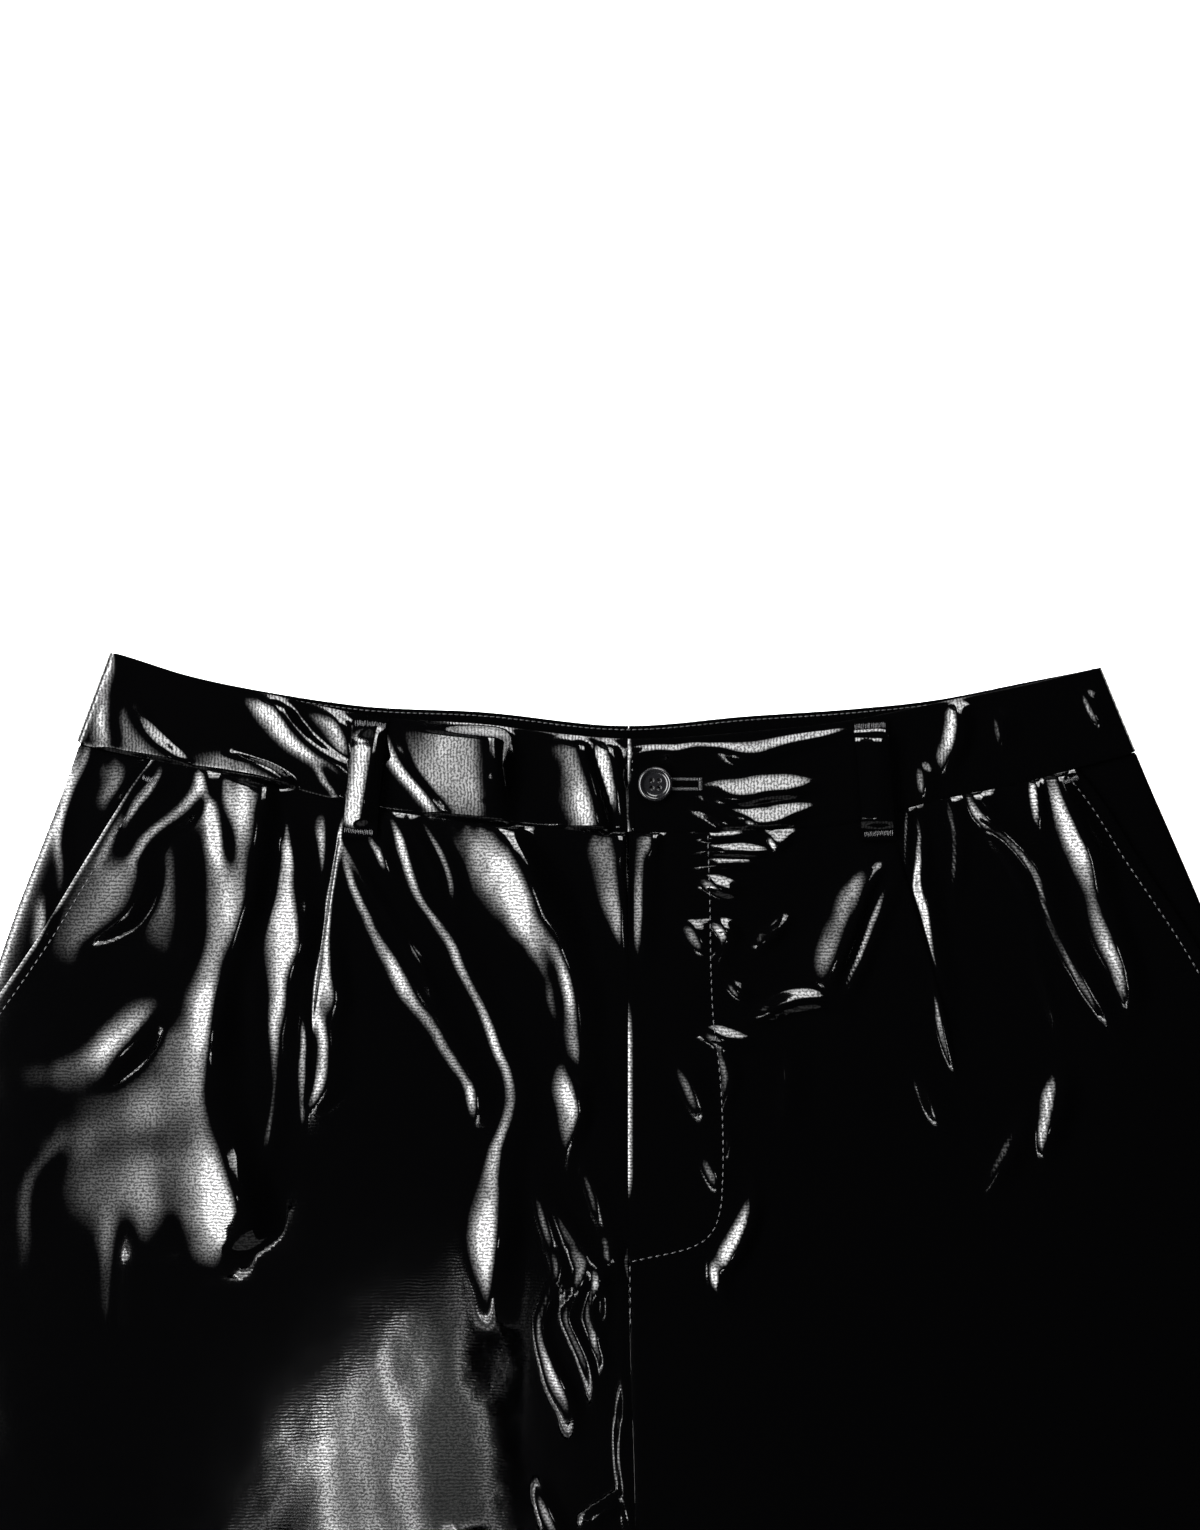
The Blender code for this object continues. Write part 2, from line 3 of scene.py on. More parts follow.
import bmesh
import bpy
import numpy as np
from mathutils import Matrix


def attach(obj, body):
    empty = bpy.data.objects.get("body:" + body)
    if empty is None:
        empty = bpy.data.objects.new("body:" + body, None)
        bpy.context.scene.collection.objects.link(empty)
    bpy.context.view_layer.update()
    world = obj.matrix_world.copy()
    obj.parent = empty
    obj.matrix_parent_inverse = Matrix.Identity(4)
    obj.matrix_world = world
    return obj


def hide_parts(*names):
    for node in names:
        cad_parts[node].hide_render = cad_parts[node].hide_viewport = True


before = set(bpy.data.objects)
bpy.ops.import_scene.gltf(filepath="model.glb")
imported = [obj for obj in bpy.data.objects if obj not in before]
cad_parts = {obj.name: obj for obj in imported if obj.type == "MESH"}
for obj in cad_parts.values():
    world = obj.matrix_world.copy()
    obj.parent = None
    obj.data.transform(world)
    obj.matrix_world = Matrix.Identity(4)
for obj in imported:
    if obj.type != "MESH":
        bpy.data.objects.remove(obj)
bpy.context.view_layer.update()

# Straight-leg trousers in black wet-look cloth, laid flat with the front up.
# Places on the cloth are (x, down) in millimetres, as in the CAD: x to the viewer's right,
# down from the highest corner of the waist to the hems. z is up from the floor.

mm = 0.001

garment = {
    "length": 1110.0,
    "centreX": 9.0,            # centre front, centre back and the fly edge
    "crotchDown": 392.0,
    "crotchX": 12.0,
    "clothWall": 1.2,
    "bandWall": 1.8,
    "loopWall": 1.2,
    "seamGap": 0.3,
    "layGap": 0.6,
    "bandHeight": 40.0,
    "flyEndDown": 264.0,
    "flyLap": 6.0,
    "underlap": 35.0,
    "underlapRise": 2.1,       # the wearer's left half lies this much higher over the underlap
    "pocketEndDown": 162.0,
    "facingEndDown": 172.0,
    "puff": 1.9,               # air between front and back
}

# the way along x from each side edge to the centre, and the column of that side in the tables
inwards = {"right": 1.0, "left": -1.0}
sideColumn = {"right": 1, "left": 2}

# outline of the laid garment: down, wearer's right side edge, wearer's left side edge
sideRows = np.array([
    (0.0, -216.6, 212.0), (6.6, -219.0, 214.4), (39.4, -230.6, 228.6), (60.0, -237.6, 237.1),
    (86.0, -247.6, 248.4), (110.0, -257.0, 258.6), (137.0, -266.3, 268.4), (180.0, -279.0, 280.5),
    (230.0, -290.0, 290.5), (290.0, -297.5, 297.5), (350.0, -300.0, 300.0), (500.0, -298.5, 299.5),
    (750.0, -294.0, 298.0), (1110.0, -290.0, 297.0)])

# down, inner edge of the right leg, inner edge of the left leg
innerLegRows = np.array([
    (392.0, 12.0, 12.0), (470.0, -3.0, 25.0), (620.0, -19.0, 37.0), (850.0, -32.0, 45.0),
    (1110.0, -41.0, 49.0)])

# x, top of the front waistband, top of the back waistband, front waist seam
waistRows = np.array([
    (-231.0, -3.0, -3.0, 39.4), (-216.6, 0.0, 0.0, 42.6), (-184.0, 10.0, 9.8, 49.0),
    (-144.0, 19.2, 18.0, 57.3), (-108.0, 27.0, 23.2, 66.5), (-56.0, 31.5, 25.8, 73.2),
    (9.0, 37.8, 31.9, 77.9), (62.0, 34.6, 27.6, 76.8), (106.0, 29.6, 24.6, 74.0),
    (142.0, 22.4, 20.8, 64.3), (182.0, 14.2, 13.0, 56.0), (214.4, 6.6, 6.6, 47.3),
    (231.0, 3.0, 3.0, 42.9)])

# down, edge of the right pocket, edge of the left pocket
pocketRows = np.array([
    (40.0, -194.0, 193.5), (57.0, -206.5, 209.5), (90.0, -227.5, 231.5), (125.0, -249.0, 255.0),
    (162.0, -274.5, 276.5)])

# down, right pleat, left pleat: the sewn edge and then the crease down the leg
pleatRows = np.array([
    (60.0, -113.5, 119.0), (90.0, -118.6, 127.5), (125.0, -123.8, 138.0), (170.0, -129.5, 149.5),
    (260.0, -138.0, 158.0), (400.0, -146.0, 162.0), (1110.0, -165.0, 173.0)])


def smoothStep(low, high, value):
    # 0 below low, 1 above high, t squared times (3 - 2t) between them
    t = np.clip((value - low) / np.maximum(high - low, 1e-6), 0.0, 1.0)
    return t * t * (3.0 - 2.0 * t)


def fadeOut(low, high, value):
    # 1 below low and 0 above high: what the smooth step leaves
    return 1.0 - smoothStep(low, high, value)


def plateau(low, full, fade, end, value):
    # climbs from low to full, stays at 1, and falls from fade to end
    return smoothStep(low, full, value) * fadeOut(fade, end, value)


def curveThrough(stations, values, at):
    # cubic through the stations, each slope worked out from the two neighbours
    slopes = np.gradient(values, stations)
    at = np.clip(at, stations[0], stations[-1])
    cell = np.clip(np.searchsorted(stations, at) - 1, 0, len(stations) - 2)
    span = stations[cell + 1] - stations[cell]
    t = (at - stations[cell]) / span
    ends = values[cell] * (1 + 2 * t) * (1 - t) ** 2 + values[cell + 1] * t * t * (3 - 2 * t)
    tangents = slopes[cell] * t * (1 - t) ** 2 - slopes[cell + 1] * t * t * (1 - t)
    return ends + span * tangents


def columnAt(rows, column, at):
    # one column of a table, as a curve over the table's first column
    return curveThrough(rows[:, 0], rows[:, column], at)


def sideX(side, down):
    return columnAt(sideRows, sideColumn[side], down)


def innerLegX(side, down):
    return columnAt(innerLegRows, sideColumn[side], down)


def pocketX(side, down):
    return columnAt(pocketRows, sideColumn[side], down)


def pleatX(side, down):
    return columnAt(pleatRows, sideColumn[side], down)


def frontTop(x):
    return columnAt(waistRows, 1, x)


def backTop(x):
    return columnAt(waistRows, 2, x)


def waistSeam(x):
    return columnAt(waistRows, 3, x)


def seatX(down):
    # centre seam, drifting from the fly's end to the crotch
    drift = smoothStep(garment["flyEndDown"], garment["crotchDown"], down)
    return garment["centreX"] + (garment["crotchX"] - garment["centreX"]) * drift


def sideDistance(x, down):
    # how far a place lies inside the nearer side edge
    return np.minimum(x - sideX("right", down), sideX("left", down) - x)


def softNoise(x, down, size, seed):
    # random heights on a square lattice of the given cell size, eased between its corners, -1 to 1
    grid = np.random.default_rng(seed).uniform(-1.0, 1.0, (67, 67))
    i, j = x / size + 700.0, down / size + 700.0
    ci, cj = np.floor(i).astype(int), np.floor(j).astype(int)
    u, v = i - ci, j - cj
    u, v = u * u * (3 - 2 * u), v * v * (3 - 2 * v)
    a, b = grid[ci % 67, cj % 67], grid[(ci + 1) % 67, cj % 67]
    c, d = grid[ci % 67, (cj + 1) % 67], grid[(ci + 1) % 67, (cj + 1) % 67]
    return (a * (1 - u) + b * u) * (1 - v) + (c * (1 - u) + d * u) * v


# Creases of the front, placed one by one. Each is a soft fold that climbs from its left edge to its
# right edge with the tilt given (rise over run) and then falls away over its tail.
# rows: down, left edge, right edge of the climbing flank
hipCreases = {
    "hipRim": {"tilt": 0.17, "tail": 7, "rows": [
        (40, -229, -225), (52, -234.5, -230), (62, -239, -234.5), (72, -242.5, -237.5),
        (80, -243.5, -239), (94, -241.5, -238)]},
    "hipBowl": {"tilt": 0.1, "tail": 9, "rows": [
        (49, -229, -208), (56, -224, -209), (66, -226, -217)]},
    "facingSpot": {"tilt": 0.13, "tail": 6, "rows": [
        (110, -252, -246), (118, -252, -245), (126, -253, -248)]},
    "pocketLens": {"tilt": 0.17, "tail": 8, "rows": [
        (53, -199, -195), (60, -204, -198), (68, -209, -204), (73, -212, -208)]},
    "pocketStreak": {"tilt": 0.09, "tail": 12, "rows": [
        (70, -214, -210), (80, -220, -214), (92, -226, -221)]},
    "forkLeft": {"tilt": 0.17, "tail": 9, "rows": [
        (50, -182, -177), (62, -185, -178), (70, -194, -185), (78, -204, -195), (90, -210, -204)]},
    "forkRight": {"tilt": 0.17, "tail": 7, "rows": [
        (56, -181, -175), (65, -178, -172), (75, -177, -169), (92, -175, -167)]},
    "hipBandA": {"tilt": 0.135, "tail": 12, "rows": [
        (54, -184, -150), (75, -191, -152), (95, -194, -155), (110, -196, -157.5),
        (120, -196, -160.5), (135, -195, -166), (150, -194, -169.5), (174, -191, -172)]},
    "hipBandB": {"tilt": 0.08, "tail": 8, "rows": [
        (54, -166, -150), (75, -168, -152), (95, -170, -155), (110, -172, -157.5),
        (120, -175, -161), (135, -180, -167), (150, -184, -170), (172, -186, -173)]},
    "hipPatch": {"tilt": 0.09, "tail": 13, "rows": [
        (86, -233, -204), (98, -236, -204), (110, -240, -208), (119, -244, -216),
        (128, -245, -229)]},
    "hipGrey": {"tilt": 0.08, "tail": 12, "rows": [
        (84, -207, -188), (110, -207, -187), (134, -205, -188)]},
    "hipRibbed": {"tilt": 0.075, "tail": 18, "rows": [
        (150, -218, -188), (178, -216, -186), (204, -214, -186)]},
    "hipLow": {"tilt": 0.085, "tail": 60, "rows": [
        (192, -240, -187), (216, -243, -187), (236, -243, -188), (252, -238, -190)]},
    "hipTail": {"tilt": 0.075, "tail": 10, "rows": [
        (246, -224, -215), (270, -223, -216), (294, -221, -217)]},
    "hipFaint": {"tilt": 0.055, "tail": 12, "rows": [
        (212, -242, -237), (224, -252, -247), (262, -257, -252)]},
    "mainStreak": {"tilt": 0.21, "tail": 16, "rows": [
        (156, -196, -171), (180, -195, -173), (195, -194, -173), (205, -194, -170),
        (216, -195, -167), (230, -194, -162), (240, -193, -158), (250, -190, -156.5),
        (262, -186, -168)]},
    "mainHot": {"tilt": 0.05, "tail": 10, "rows": [
        (226, -180, -166), (240, -180, -162), (253, -179, -166)]},
}
lyingHipCreases = {   # rows: x, upper edge, lower edge of a flank that climbs downwards
    "hipDiagonal": {"tilt": 0.16, "tail": 14, "rows": [
        (-242, 177, 182), (-225, 167, 180), (-215, 157, 176), (-205, 150, 168), (-193, 143, 158)]},
    "hipLowEdge": {"tilt": 0.06, "tail": 12, "rows": [
        (-236, 203, 214), (-215, 198, 212), (-192, 196, 208)]},
}
besidePleatCreases = {
    "streakTop": {"tilt": 0.17, "tail": 4, "rows": [
        (60, -152, -149), (72, -150, -146), (84, -147, -142)]},
    "streakNine": {"tilt": 0.22, "tail": 11, "rows": [
        (70, -148, -140.5), (90, -148, -137), (105, -150, -135.5), (118, -153, -133.5),
        (128, -153, -133.5), (140, -151, -138), (155, -149, -139.5), (168, -149, -142)]},
    "streakNineTail": {"tilt": 0.15, "tail": 9, "rows": [
        (160, -148, -144), (190, -148, -144), (210, -152, -147), (228, -155, -151)]},
    "streakTen": {"tilt": 0.17, "tail": 5, "rows": [
        (62, -144, -141), (80, -141, -138.5), (96, -139, -137)]},
    "beforePleat": {"tilt": 0.19, "tail": 5, "rows": [
        (73, -129.5, -122), (84, -128, -123), (98, -127, -124.5)]},
    "hipToPleat": {"tilt": 0.115, "tail": 8, "rows": [
        (134, -160, -156), (150, -160, -155), (170, -158, -155)]},
    "pleatMouth": {"tilt": 0.27, "tail": 9, "rows": [
        (112, -125.5, -121), (122, -126.5, -121), (132, -128.5, -120.5), (142, -130.5, -119.5),
        (152, -132, -117.5), (160, -133.5, -119)]},
    "teardropLeft": {"tilt": 0.24, "tail": 3, "rows": [
        (156, -136, -132), (172, -135, -131), (186, -136, -131.5), (198, -136, -133)]},
    "teardropRight": {"tilt": 0.27, "tail": 12, "rows": [
        (156, -129, -126), (166, -127, -122), (178, -128, -121), (188, -130, -122),
        (194, -133, -126), (200, -135, -131)]},
}
centreRightCreases = {
    "rayOne": {"tilt": 0.2, "tail": 4, "rows": [
        (80, -120, -117), (92, -113, -109), (102, -107, -102.5), (112, -101, -96.5),
        (122, -95, -90.5), (132, -90, -85.5), (142, -84, -80), (152, -79, -76)]},
    "rayTwo": {"tilt": 0.215, "tail": 13, "rows": [
        (84, -120, -115), (100, -115, -109), (112, -110.5, -103.5), (122, -106, -98.5),
        (132, -102, -92.5), (142, -97, -86.5), (152, -91, -81.5), (160, -86, -76.5),
        (170, -79, -70.5), (182, -70, -62.5), (192, -63, -57.5)]},
    "rayFill": {"tilt": 0.08, "tail": 10, "rows": [
        (122, -94, -88), (145, -86, -76), (165, -75, -68), (180, -66, -61)]},
    "rayEnd": {"tilt": 0.23, "tail": 10, "rows": [
        (188, -64, -58), (196, -63, -57), (204, -61, -57)]},
    "loopStreak": {"tilt": 0.21, "tail": 5, "rows": [
        (80, -105.5, -102), (88, -102.5, -98.5), (96, -99, -96)]},
    "loopLine": {"tilt": 0.18, "tail": 4, "rows": [
        (70, -100, -97.5), (80, -100, -97.5), (92, -100, -98)]},
    "longS": {"tilt": 0.24, "tail": 12, "rows": [
        (68, -99, -95), (80, -96, -90), (92, -93, -86.5), (100, -90, -83), (110, -84, -77),
        (118, -78, -70.5), (128, -72.5, -65.5), (138, -68.5, -61.5), (148, -62.5, -56),
        (158, -57.5, -51), (172, -52.5, -46), (184, -48, -41), (196, -46.5, -39), (208, -49, -41.5),
        (216, -53, -44.5), (228, -59, -46.5), (244, -65, -47), (256, -66, -48), (268, -63, -49.5),
        (282, -59, -51)]},
    "shortOne": {"tilt": 0.22, "tail": 5, "rows": [
        (74, -90.5, -87), (86, -84.5, -80.5), (96, -79, -75.5), (104, -75.5, -73.5)]},
    "shortTwo": {"tilt": 0.22, "tail": 6, "rows": [
        (74, -82.5, -79), (88, -75.5, -71.5), (100, -71.5, -67.5), (114, -69, -66.5)]},
    "petalTop": {"tilt": 0.215, "tail": 16, "rows": [
        (73, -88, -50), (84, -80, -42.5), (92, -75, -37), (104, -68, -30.5), (114, -61, -26.5),
        (124, -51, -22.5), (130, -43, -20.5)]},
    "petalEdge": {"tilt": 0.23, "tail": 12, "rows": [
        (128, -32, -19.5), (140, -27, -15.5), (150, -26, -12.5), (170, -23, -11.5), (182, -19, -11),
        (192, -14, -7.5), (204, -9, -5)]},
    "petalSpread": {"tilt": 0.12, "tail": 7, "rows": [
        (128, -40, -30), (142, -33, -25), (160, -29, -22)]},
    "petalBlob": {"tilt": 0.26, "tail": 8, "rows": [
        (182, -27, -18), (192, -28, -14), (200, -26, -12.5), (208, -25, -14.5), (218, -23, -18)]},
    "petalLast": {"tilt": 0.19, "tail": 8, "rows": [
        (224, -14, -10.5), (236, -9, -5), (248, -5, -2)]},
    "besideFly": {"tilt": 0.185, "tail": 3, "rows": [
        (76, -22, 7), (88, -19, 7.5), (98, -14, 7.5), (108, -9, 7.6), (118, -3, 7.7),
        (130, 2, 7.8)]},
}
crotchCreases = {
    "crotchArm": {"tilt": 0.21, "tail": 6, "rows": [
        (236, -35, -31), (250, -30.5, -26.5), (264, -26, -22), (279, -22.5, -19)]},
    "crotchWide": {"tilt": 0.165, "tail": 6, "rows": [
        (236, -32, -27), (250, -28, -16), (262, -23, -8), (274, -17, -3)]},
    "crotchOutline": {"tilt": 0.23, "tail": 4, "rows": [
        (270, -25, -21.5), (280, -28.5, -25), (290, -32, -28), (300, -31.5, -27.5),
        (312, -29.5, -22), (322, -27, -16.5), (332, -22, -14)]},
    "crotchMiddle": {"tilt": 0.23, "tail": 3, "rows": [
        (270, -16, -10), (280, -17.5, -13), (290, -20, -16.5), (298, -17, -13), (308, -13, -8.5),
        (318, -10, -7)]},
    "crotchRight": {"tilt": 0.24, "tail": 3, "rows": [
        (266, -5, 0), (276, -8, -4.5), (288, -11, -7), (298, -9, -4.5), (308, -7, -2.5),
        (318, -7, -4)]},
    "crotchEye": {"tilt": 0.23, "tail": 3, "rows": [
        (272, -8, -5), (282, -5, -1.5), (292, -5, -2), (302, -9, -5.5)]},
    "crotchCap": {"tilt": 0.21, "tail": 5, "rows": [
        (254, -6, 1), (261, -7, 3), (269, -8, 4.5)]},
    "centreSeamLow": {"tilt": 0.22, "tail": 3, "rows": [
        (326, 3, 6.5), (350, 1.5, 4.5), (364, 3.5, 6.5), (386, 8, 11)]},
}
lyingCrotchCreases = {
    "crotchBand": {"tilt": 0.16, "tail": 4, "rows": [
        (-22, 278, 281), (-14, 270, 275), (-4, 269.5, 274), (5, 268, 272)]},
}
thighRightCreases = {
    "thighCorner": {"tilt": 0.2, "tail": 6, "rows": [
        (366, -34, -31), (374, -32, -26), (386, -27, -20)]},
}
lyingThighCreases = {
    "thighThin": {"tilt": 0.22, "tail": 6, "rows": [
        (-9, 373, 378), (-2, 369, 374), (5, 364, 369)]},
}
flyCreases = {
    "flyTop": {"tilt": 0.205, "tail": 8, "rows": [
        (77, 9.5, 19), (90, 9.5, 18), (112, 9.5, 16.5), (136, 10, 15)]},
    "flyBlock": {"tilt": 0.25, "tail": 4, "rows": [
        (76, 15, 21), (82, 16, 21), (88, 16, 20)]},
    "flySpot": {"tilt": 0.2, "tail": 8, "rows": [
        (119, 27, 36), (125, 30, 40), (130, 34, 42)]},
}
stackCreases = {
    "slash": {"tilt": 0.31, "tail": 7, "rows": [
        (234, 58, 63.5), (243, 54.5, 63), (252, 49, 60), (260, 45, 56), (267, 42, 52),
        (274, 41.5, 47.5)]},
    "slashTail": {"tilt": 0.27, "tail": 5, "rows": [
        (268, 42.5, 46.5), (276, 45.5, 49), (284, 48.5, 51)]},
    "stackPost": {"tilt": 0.28, "tail": 5, "rows": [
        (172, 46, 50), (184, 47, 53.5), (198, 46, 51.5)]},
    "stackPostLow": {"tilt": 0.27, "tail": 5, "rows": [
        (208, 49, 52), (214, 50, 54), (220, 50, 53)]},
    "stackGrey": {"tilt": 0.22, "tail": 8, "rows": [
        (116, 42, 49), (124, 43, 52), (136, 43, 48)]},
    "flySoftLow": {"tilt": 0.2, "tail": 10, "rows": [
        (180, 26, 33), (190, 30, 38), (202, 35, 42)]},
    "flySoftEnd": {"tilt": 0.22, "tail": 6, "rows": [
        (220, 38, 44), (226, 40, 47), (233, 43, 48)]},
    "sideFaint": {"tilt": 0.21, "tail": 12, "rows": [
        (172, 74, 78.5), (188, 73, 78), (206, 71, 75.5)]},
}
lyingStackCreases = {
    "stackOne": {"tilt": 0.33, "tail": 3, "rows": [
        (40, 75.5, 80), (48.2, 75.5, 80.5), (56.5, 77, 80)]},
    "stackTwo": {"tilt": 0.34, "tail": 3, "rows": [
        (42, 81.5, 86), (56, 81.5, 87.5), (71, 84, 88)]},
    "stackThree": {"tilt": 0.33, "tail": 3, "rows": [
        (41, 88.5, 92.5), (54, 88.5, 93), (65, 90, 93)]},
    "stackFour": {"tilt": 0.33, "tail": 5, "rows": [
        (42, 94, 99.5), (50, 95, 102.5), (58, 100, 104)]},
    "stackFive": {"tilt": 0.31, "tail": 5, "rows": [
        (42, 115, 119), (50, 116, 121), (60, 120, 124)]},
    "stackSix": {"tilt": 0.31, "tail": 5, "rows": [
        (43, 159, 165), (52, 161, 168.5), (64, 166, 170)]},
    "stackSpot": {"tilt": 0.3, "tail": 4, "rows": [(53, 139, 143), (58, 141, 147), (62, 145, 148)]},
    "stackCrescent": {"tilt": 0.33, "tail": 6, "rows": [
        (64, 121.5, 126), (71, 116, 124), (78, 109, 117)]},
    "stackFlag": {"tilt": 0.31, "tail": 5, "rows": [
        (70, 75, 79.5), (74.4, 75, 84.5), (80.5, 74, 79)]},
}
leftPleatCreases = {
    "sheetRay": {"tilt": 0.24, "tail": 7, "rows": [
        (88, 118, 122.5), (96, 113, 119), (104, 109, 115.5), (114, 104, 110)]},
    "sheetEdge": {"tilt": 0.29, "tail": 8, "rows": [
        (96, 119.5, 125.5), (108, 115, 121.5), (118, 110.5, 117.5), (128, 106.5, 113.5),
        (140, 100.5, 108.5), (152, 95.5, 103)]},
    "sheetFill": {"tilt": 0.20, "tail": 6, "rows": [
        (94, 101, 116), (108, 90, 110), (125, 80, 104), (144, 73, 98)]},
    "eyeletLeft": {"tilt": 0.30, "tail": 2, "rows": [
        (66, 129.5, 132.5), (82, 129, 131.5), (99, 129.5, 132)]},
    "eyeletRight": {"tilt": 0.33, "tail": 5, "rows": [
        (66, 132.5, 135.5), (80, 134.5, 138), (92, 134.5, 138), (102, 133, 137)]},
    "pleatFlank": {"tilt": 0.34, "tail": 10, "rows": [
        (94, 130, 137), (104, 130.5, 138.5), (114, 133, 140.5), (124, 135.5, 142.5),
        (134, 138, 144), (150, 142, 147)]},
    "pleatTip": {"tilt": 0.31, "tail": 8, "rows": [
        (152, 142.5, 146), (162, 143, 147), (172, 146, 149.5), (182, 150, 152.5)]},
    "pleatNear": {"tilt": 0.32, "tail": 7, "rows": [
        (62, 144, 150), (76, 147.5, 153), (90, 148.5, 153), (104, 148, 152)]},
    "longSLeft": {"tilt": 0.34, "tail": 11, "rows": [
        (60, 150, 158), (72, 158, 167), (80, 167.5, 175), (88, 176, 183), (97, 183, 189),
        (108, 187, 192), (118, 190, 195), (128, 194.5, 199.5), (138, 199.5, 204.5),
        (148, 205.5, 210.5), (158, 212, 216), (170, 219, 222.5)]},
    "longSFaint": {"tilt": 0.27, "tail": 6, "rows": [
        (78, 162.5, 166), (92, 172.5, 176), (104, 179, 182), (118, 181.5, 184.5), (140, 185, 188),
        (168, 193.5, 196.5)]},
    "hipOval": {"tilt": 0.35, "tail": 4, "rows": [
        (55, 181, 186.5), (66, 182.5, 188.5), (78, 185, 189.5)]},
    "pocketBand": {"tilt": 0.335, "tail": 10, "rows": [
        (52, 184, 196), (62, 186, 199.5), (72, 189, 203.5), (85, 193, 209.5), (96, 197, 213),
        (106, 201, 216), (120, 206, 220.5), (134, 212, 225), (146, 216.5, 227), (158, 221, 226)]},
    "hipDot": {"tilt": 0.345, "tail": 10, "rows": [
        (184, 189, 197), (196, 184, 196.5), (207, 183, 194.5), (219, 186, 190.5)]},
    "hipDotSoft": {"tilt": 0.24, "tail": 10, "rows": [
        (200, 176, 182), (216, 168, 176), (234, 162, 168)]},
    "hipSoft": {"tilt": 0.19, "tail": 12, "rows": [
        (184, 128, 136), (196, 134, 142), (206, 140, 146)]},
}
lyingLeftCreases = {
    "sheetCrescent": {"tilt": 0.35, "tail": 6, "rows": [
        (63, 152, 158), (72, 147, 156), (80, 144, 152.5), (88, 143.5, 151), (98, 147, 153)]},
}
bandCreases = {
    "bandRim": {"tilt": 0.14, "tail": 8, "rows": [
        (0, -218, -213), (10, -221, -215), (20, -224, -218), (30, -226.5, -219), (38, -228, -218)]},
    "bandFoot": {"tilt": 0.095, "tail": 9, "rows": [
        (22, -227, -209), (31, -229, -206), (38, -228, -200), (44, -222, -193), (50, -212, -188)]},
    "bandHem": {"tilt": 0.125, "tail": 7, "rows": [
        (44, -190, -166), (50, -190, -150), (56, -176, -142), (60, -164, -142)]},
    "strokeA": {"tilt": 0.205, "tail": 9, "rows": [
        (14, -166, -150), (24, -160, -144.5), (30, -156, -140), (36, -151, -134.5),
        (42, -145, -127), (47, -138, -118.5), (52, -130, -112)]},
    "strokeB": {"tilt": 0.21, "tail": 8, "rows": [
        (21, -138, -124), (30, -131, -117), (36, -126, -113.5), (44, -120, -111)]},
    "strokeC": {"tilt": 0.2, "tail": 5, "rows": [
        (49, -129, -125), (55, -125.5, -121), (60, -121.5, -117.5), (64, -119, -115.5)]},
    "strokeD": {"tilt": 0.21, "tail": 6, "rows": [
        (34, -99.5, -95.5), (44, -99, -93), (50, -96.5, -90), (56, -92, -85), (62, -86, -79),
        (69, -79, -73)]},
    "bandPatch": {"tilt": 0.19, "tail": 12, "rows": [
        (24, -94, -50), (38, -104, -50), (50, -108, -49), (60, -102, -49), (68, -92, -49),
        (78, -82, -51)]},
    "stripeOne": {"tilt": 0.235, "tail": 5, "rows": [
        (34, -34, -14), (48, -32, -10), (58, -31, -6.5), (68, -29, -3.5), (78, -27, -1.5)]},
    "stripeTwo": {"tilt": 0.24, "tail": 6, "rows": [
        (34, -13, -1.5), (48, -10, 2.5), (58, -7, 5), (70, -4, 7)]},
    "bandHot": {"tilt": 0.37, "tail": 8, "rows": [
        (20, 143.5, 151), (28, 144, 153), (36, 142.5, 153), (50, 139.5, 148)]},
    "bandLow": {"tilt": 0.30, "tail": 8, "rows": [
        (50, 133, 138), (56, 133, 139), (62, 134, 139)]},
    "bandFaint": {"tilt": 0.29, "tail": 9, "rows": [
        (26, 165, 170), (32, 166, 171), (40, 168, 172)]},
    "bandFar": {"tilt": 0.30, "tail": 9, "rows": [
        (16, 204, 208), (24, 206, 211), (32, 211, 215)]},
}
lyingBandCreases = {   # rows: x, upper edge, lower edge
    "bandShelf": {"tilt": 0.3, "tail": 7, "rows": [
        (10, 38.5, 47), (15, 38.5, 44.5), (20, 38.5, 43), (30, 38, 43), (40, 38, 40.8),
        (50, 38, 41.5), (56, 37, 43), (64, 36, 44), (75, 35, 41.5), (86, 33.5, 38.5),
        (102, 31.5, 34.5)]},
    "veeUpper": {"tilt": 0.33, "tail": 5, "rows": [
        (41, 54, 60), (50, 52, 62), (60, 51, 63), (70, 50.5, 61), (80, 50.5, 59.5),
        (90, 50.5, 57)]},
    "veeLower": {"tilt": 0.33, "tail": 5, "rows": [
        (41, 60, 62.5), (50, 61.5, 67), (60, 63.5, 71), (67, 64, 75), (74, 63, 73.5),
        (82, 62.5, 70), (90, 62, 67)]},
    "veeGrey": {"tilt": 0.19, "tail": 5, "rows": [
        (30, 61.5, 64), (42, 64, 69), (54, 67, 74), (62, 70, 76)]},
}
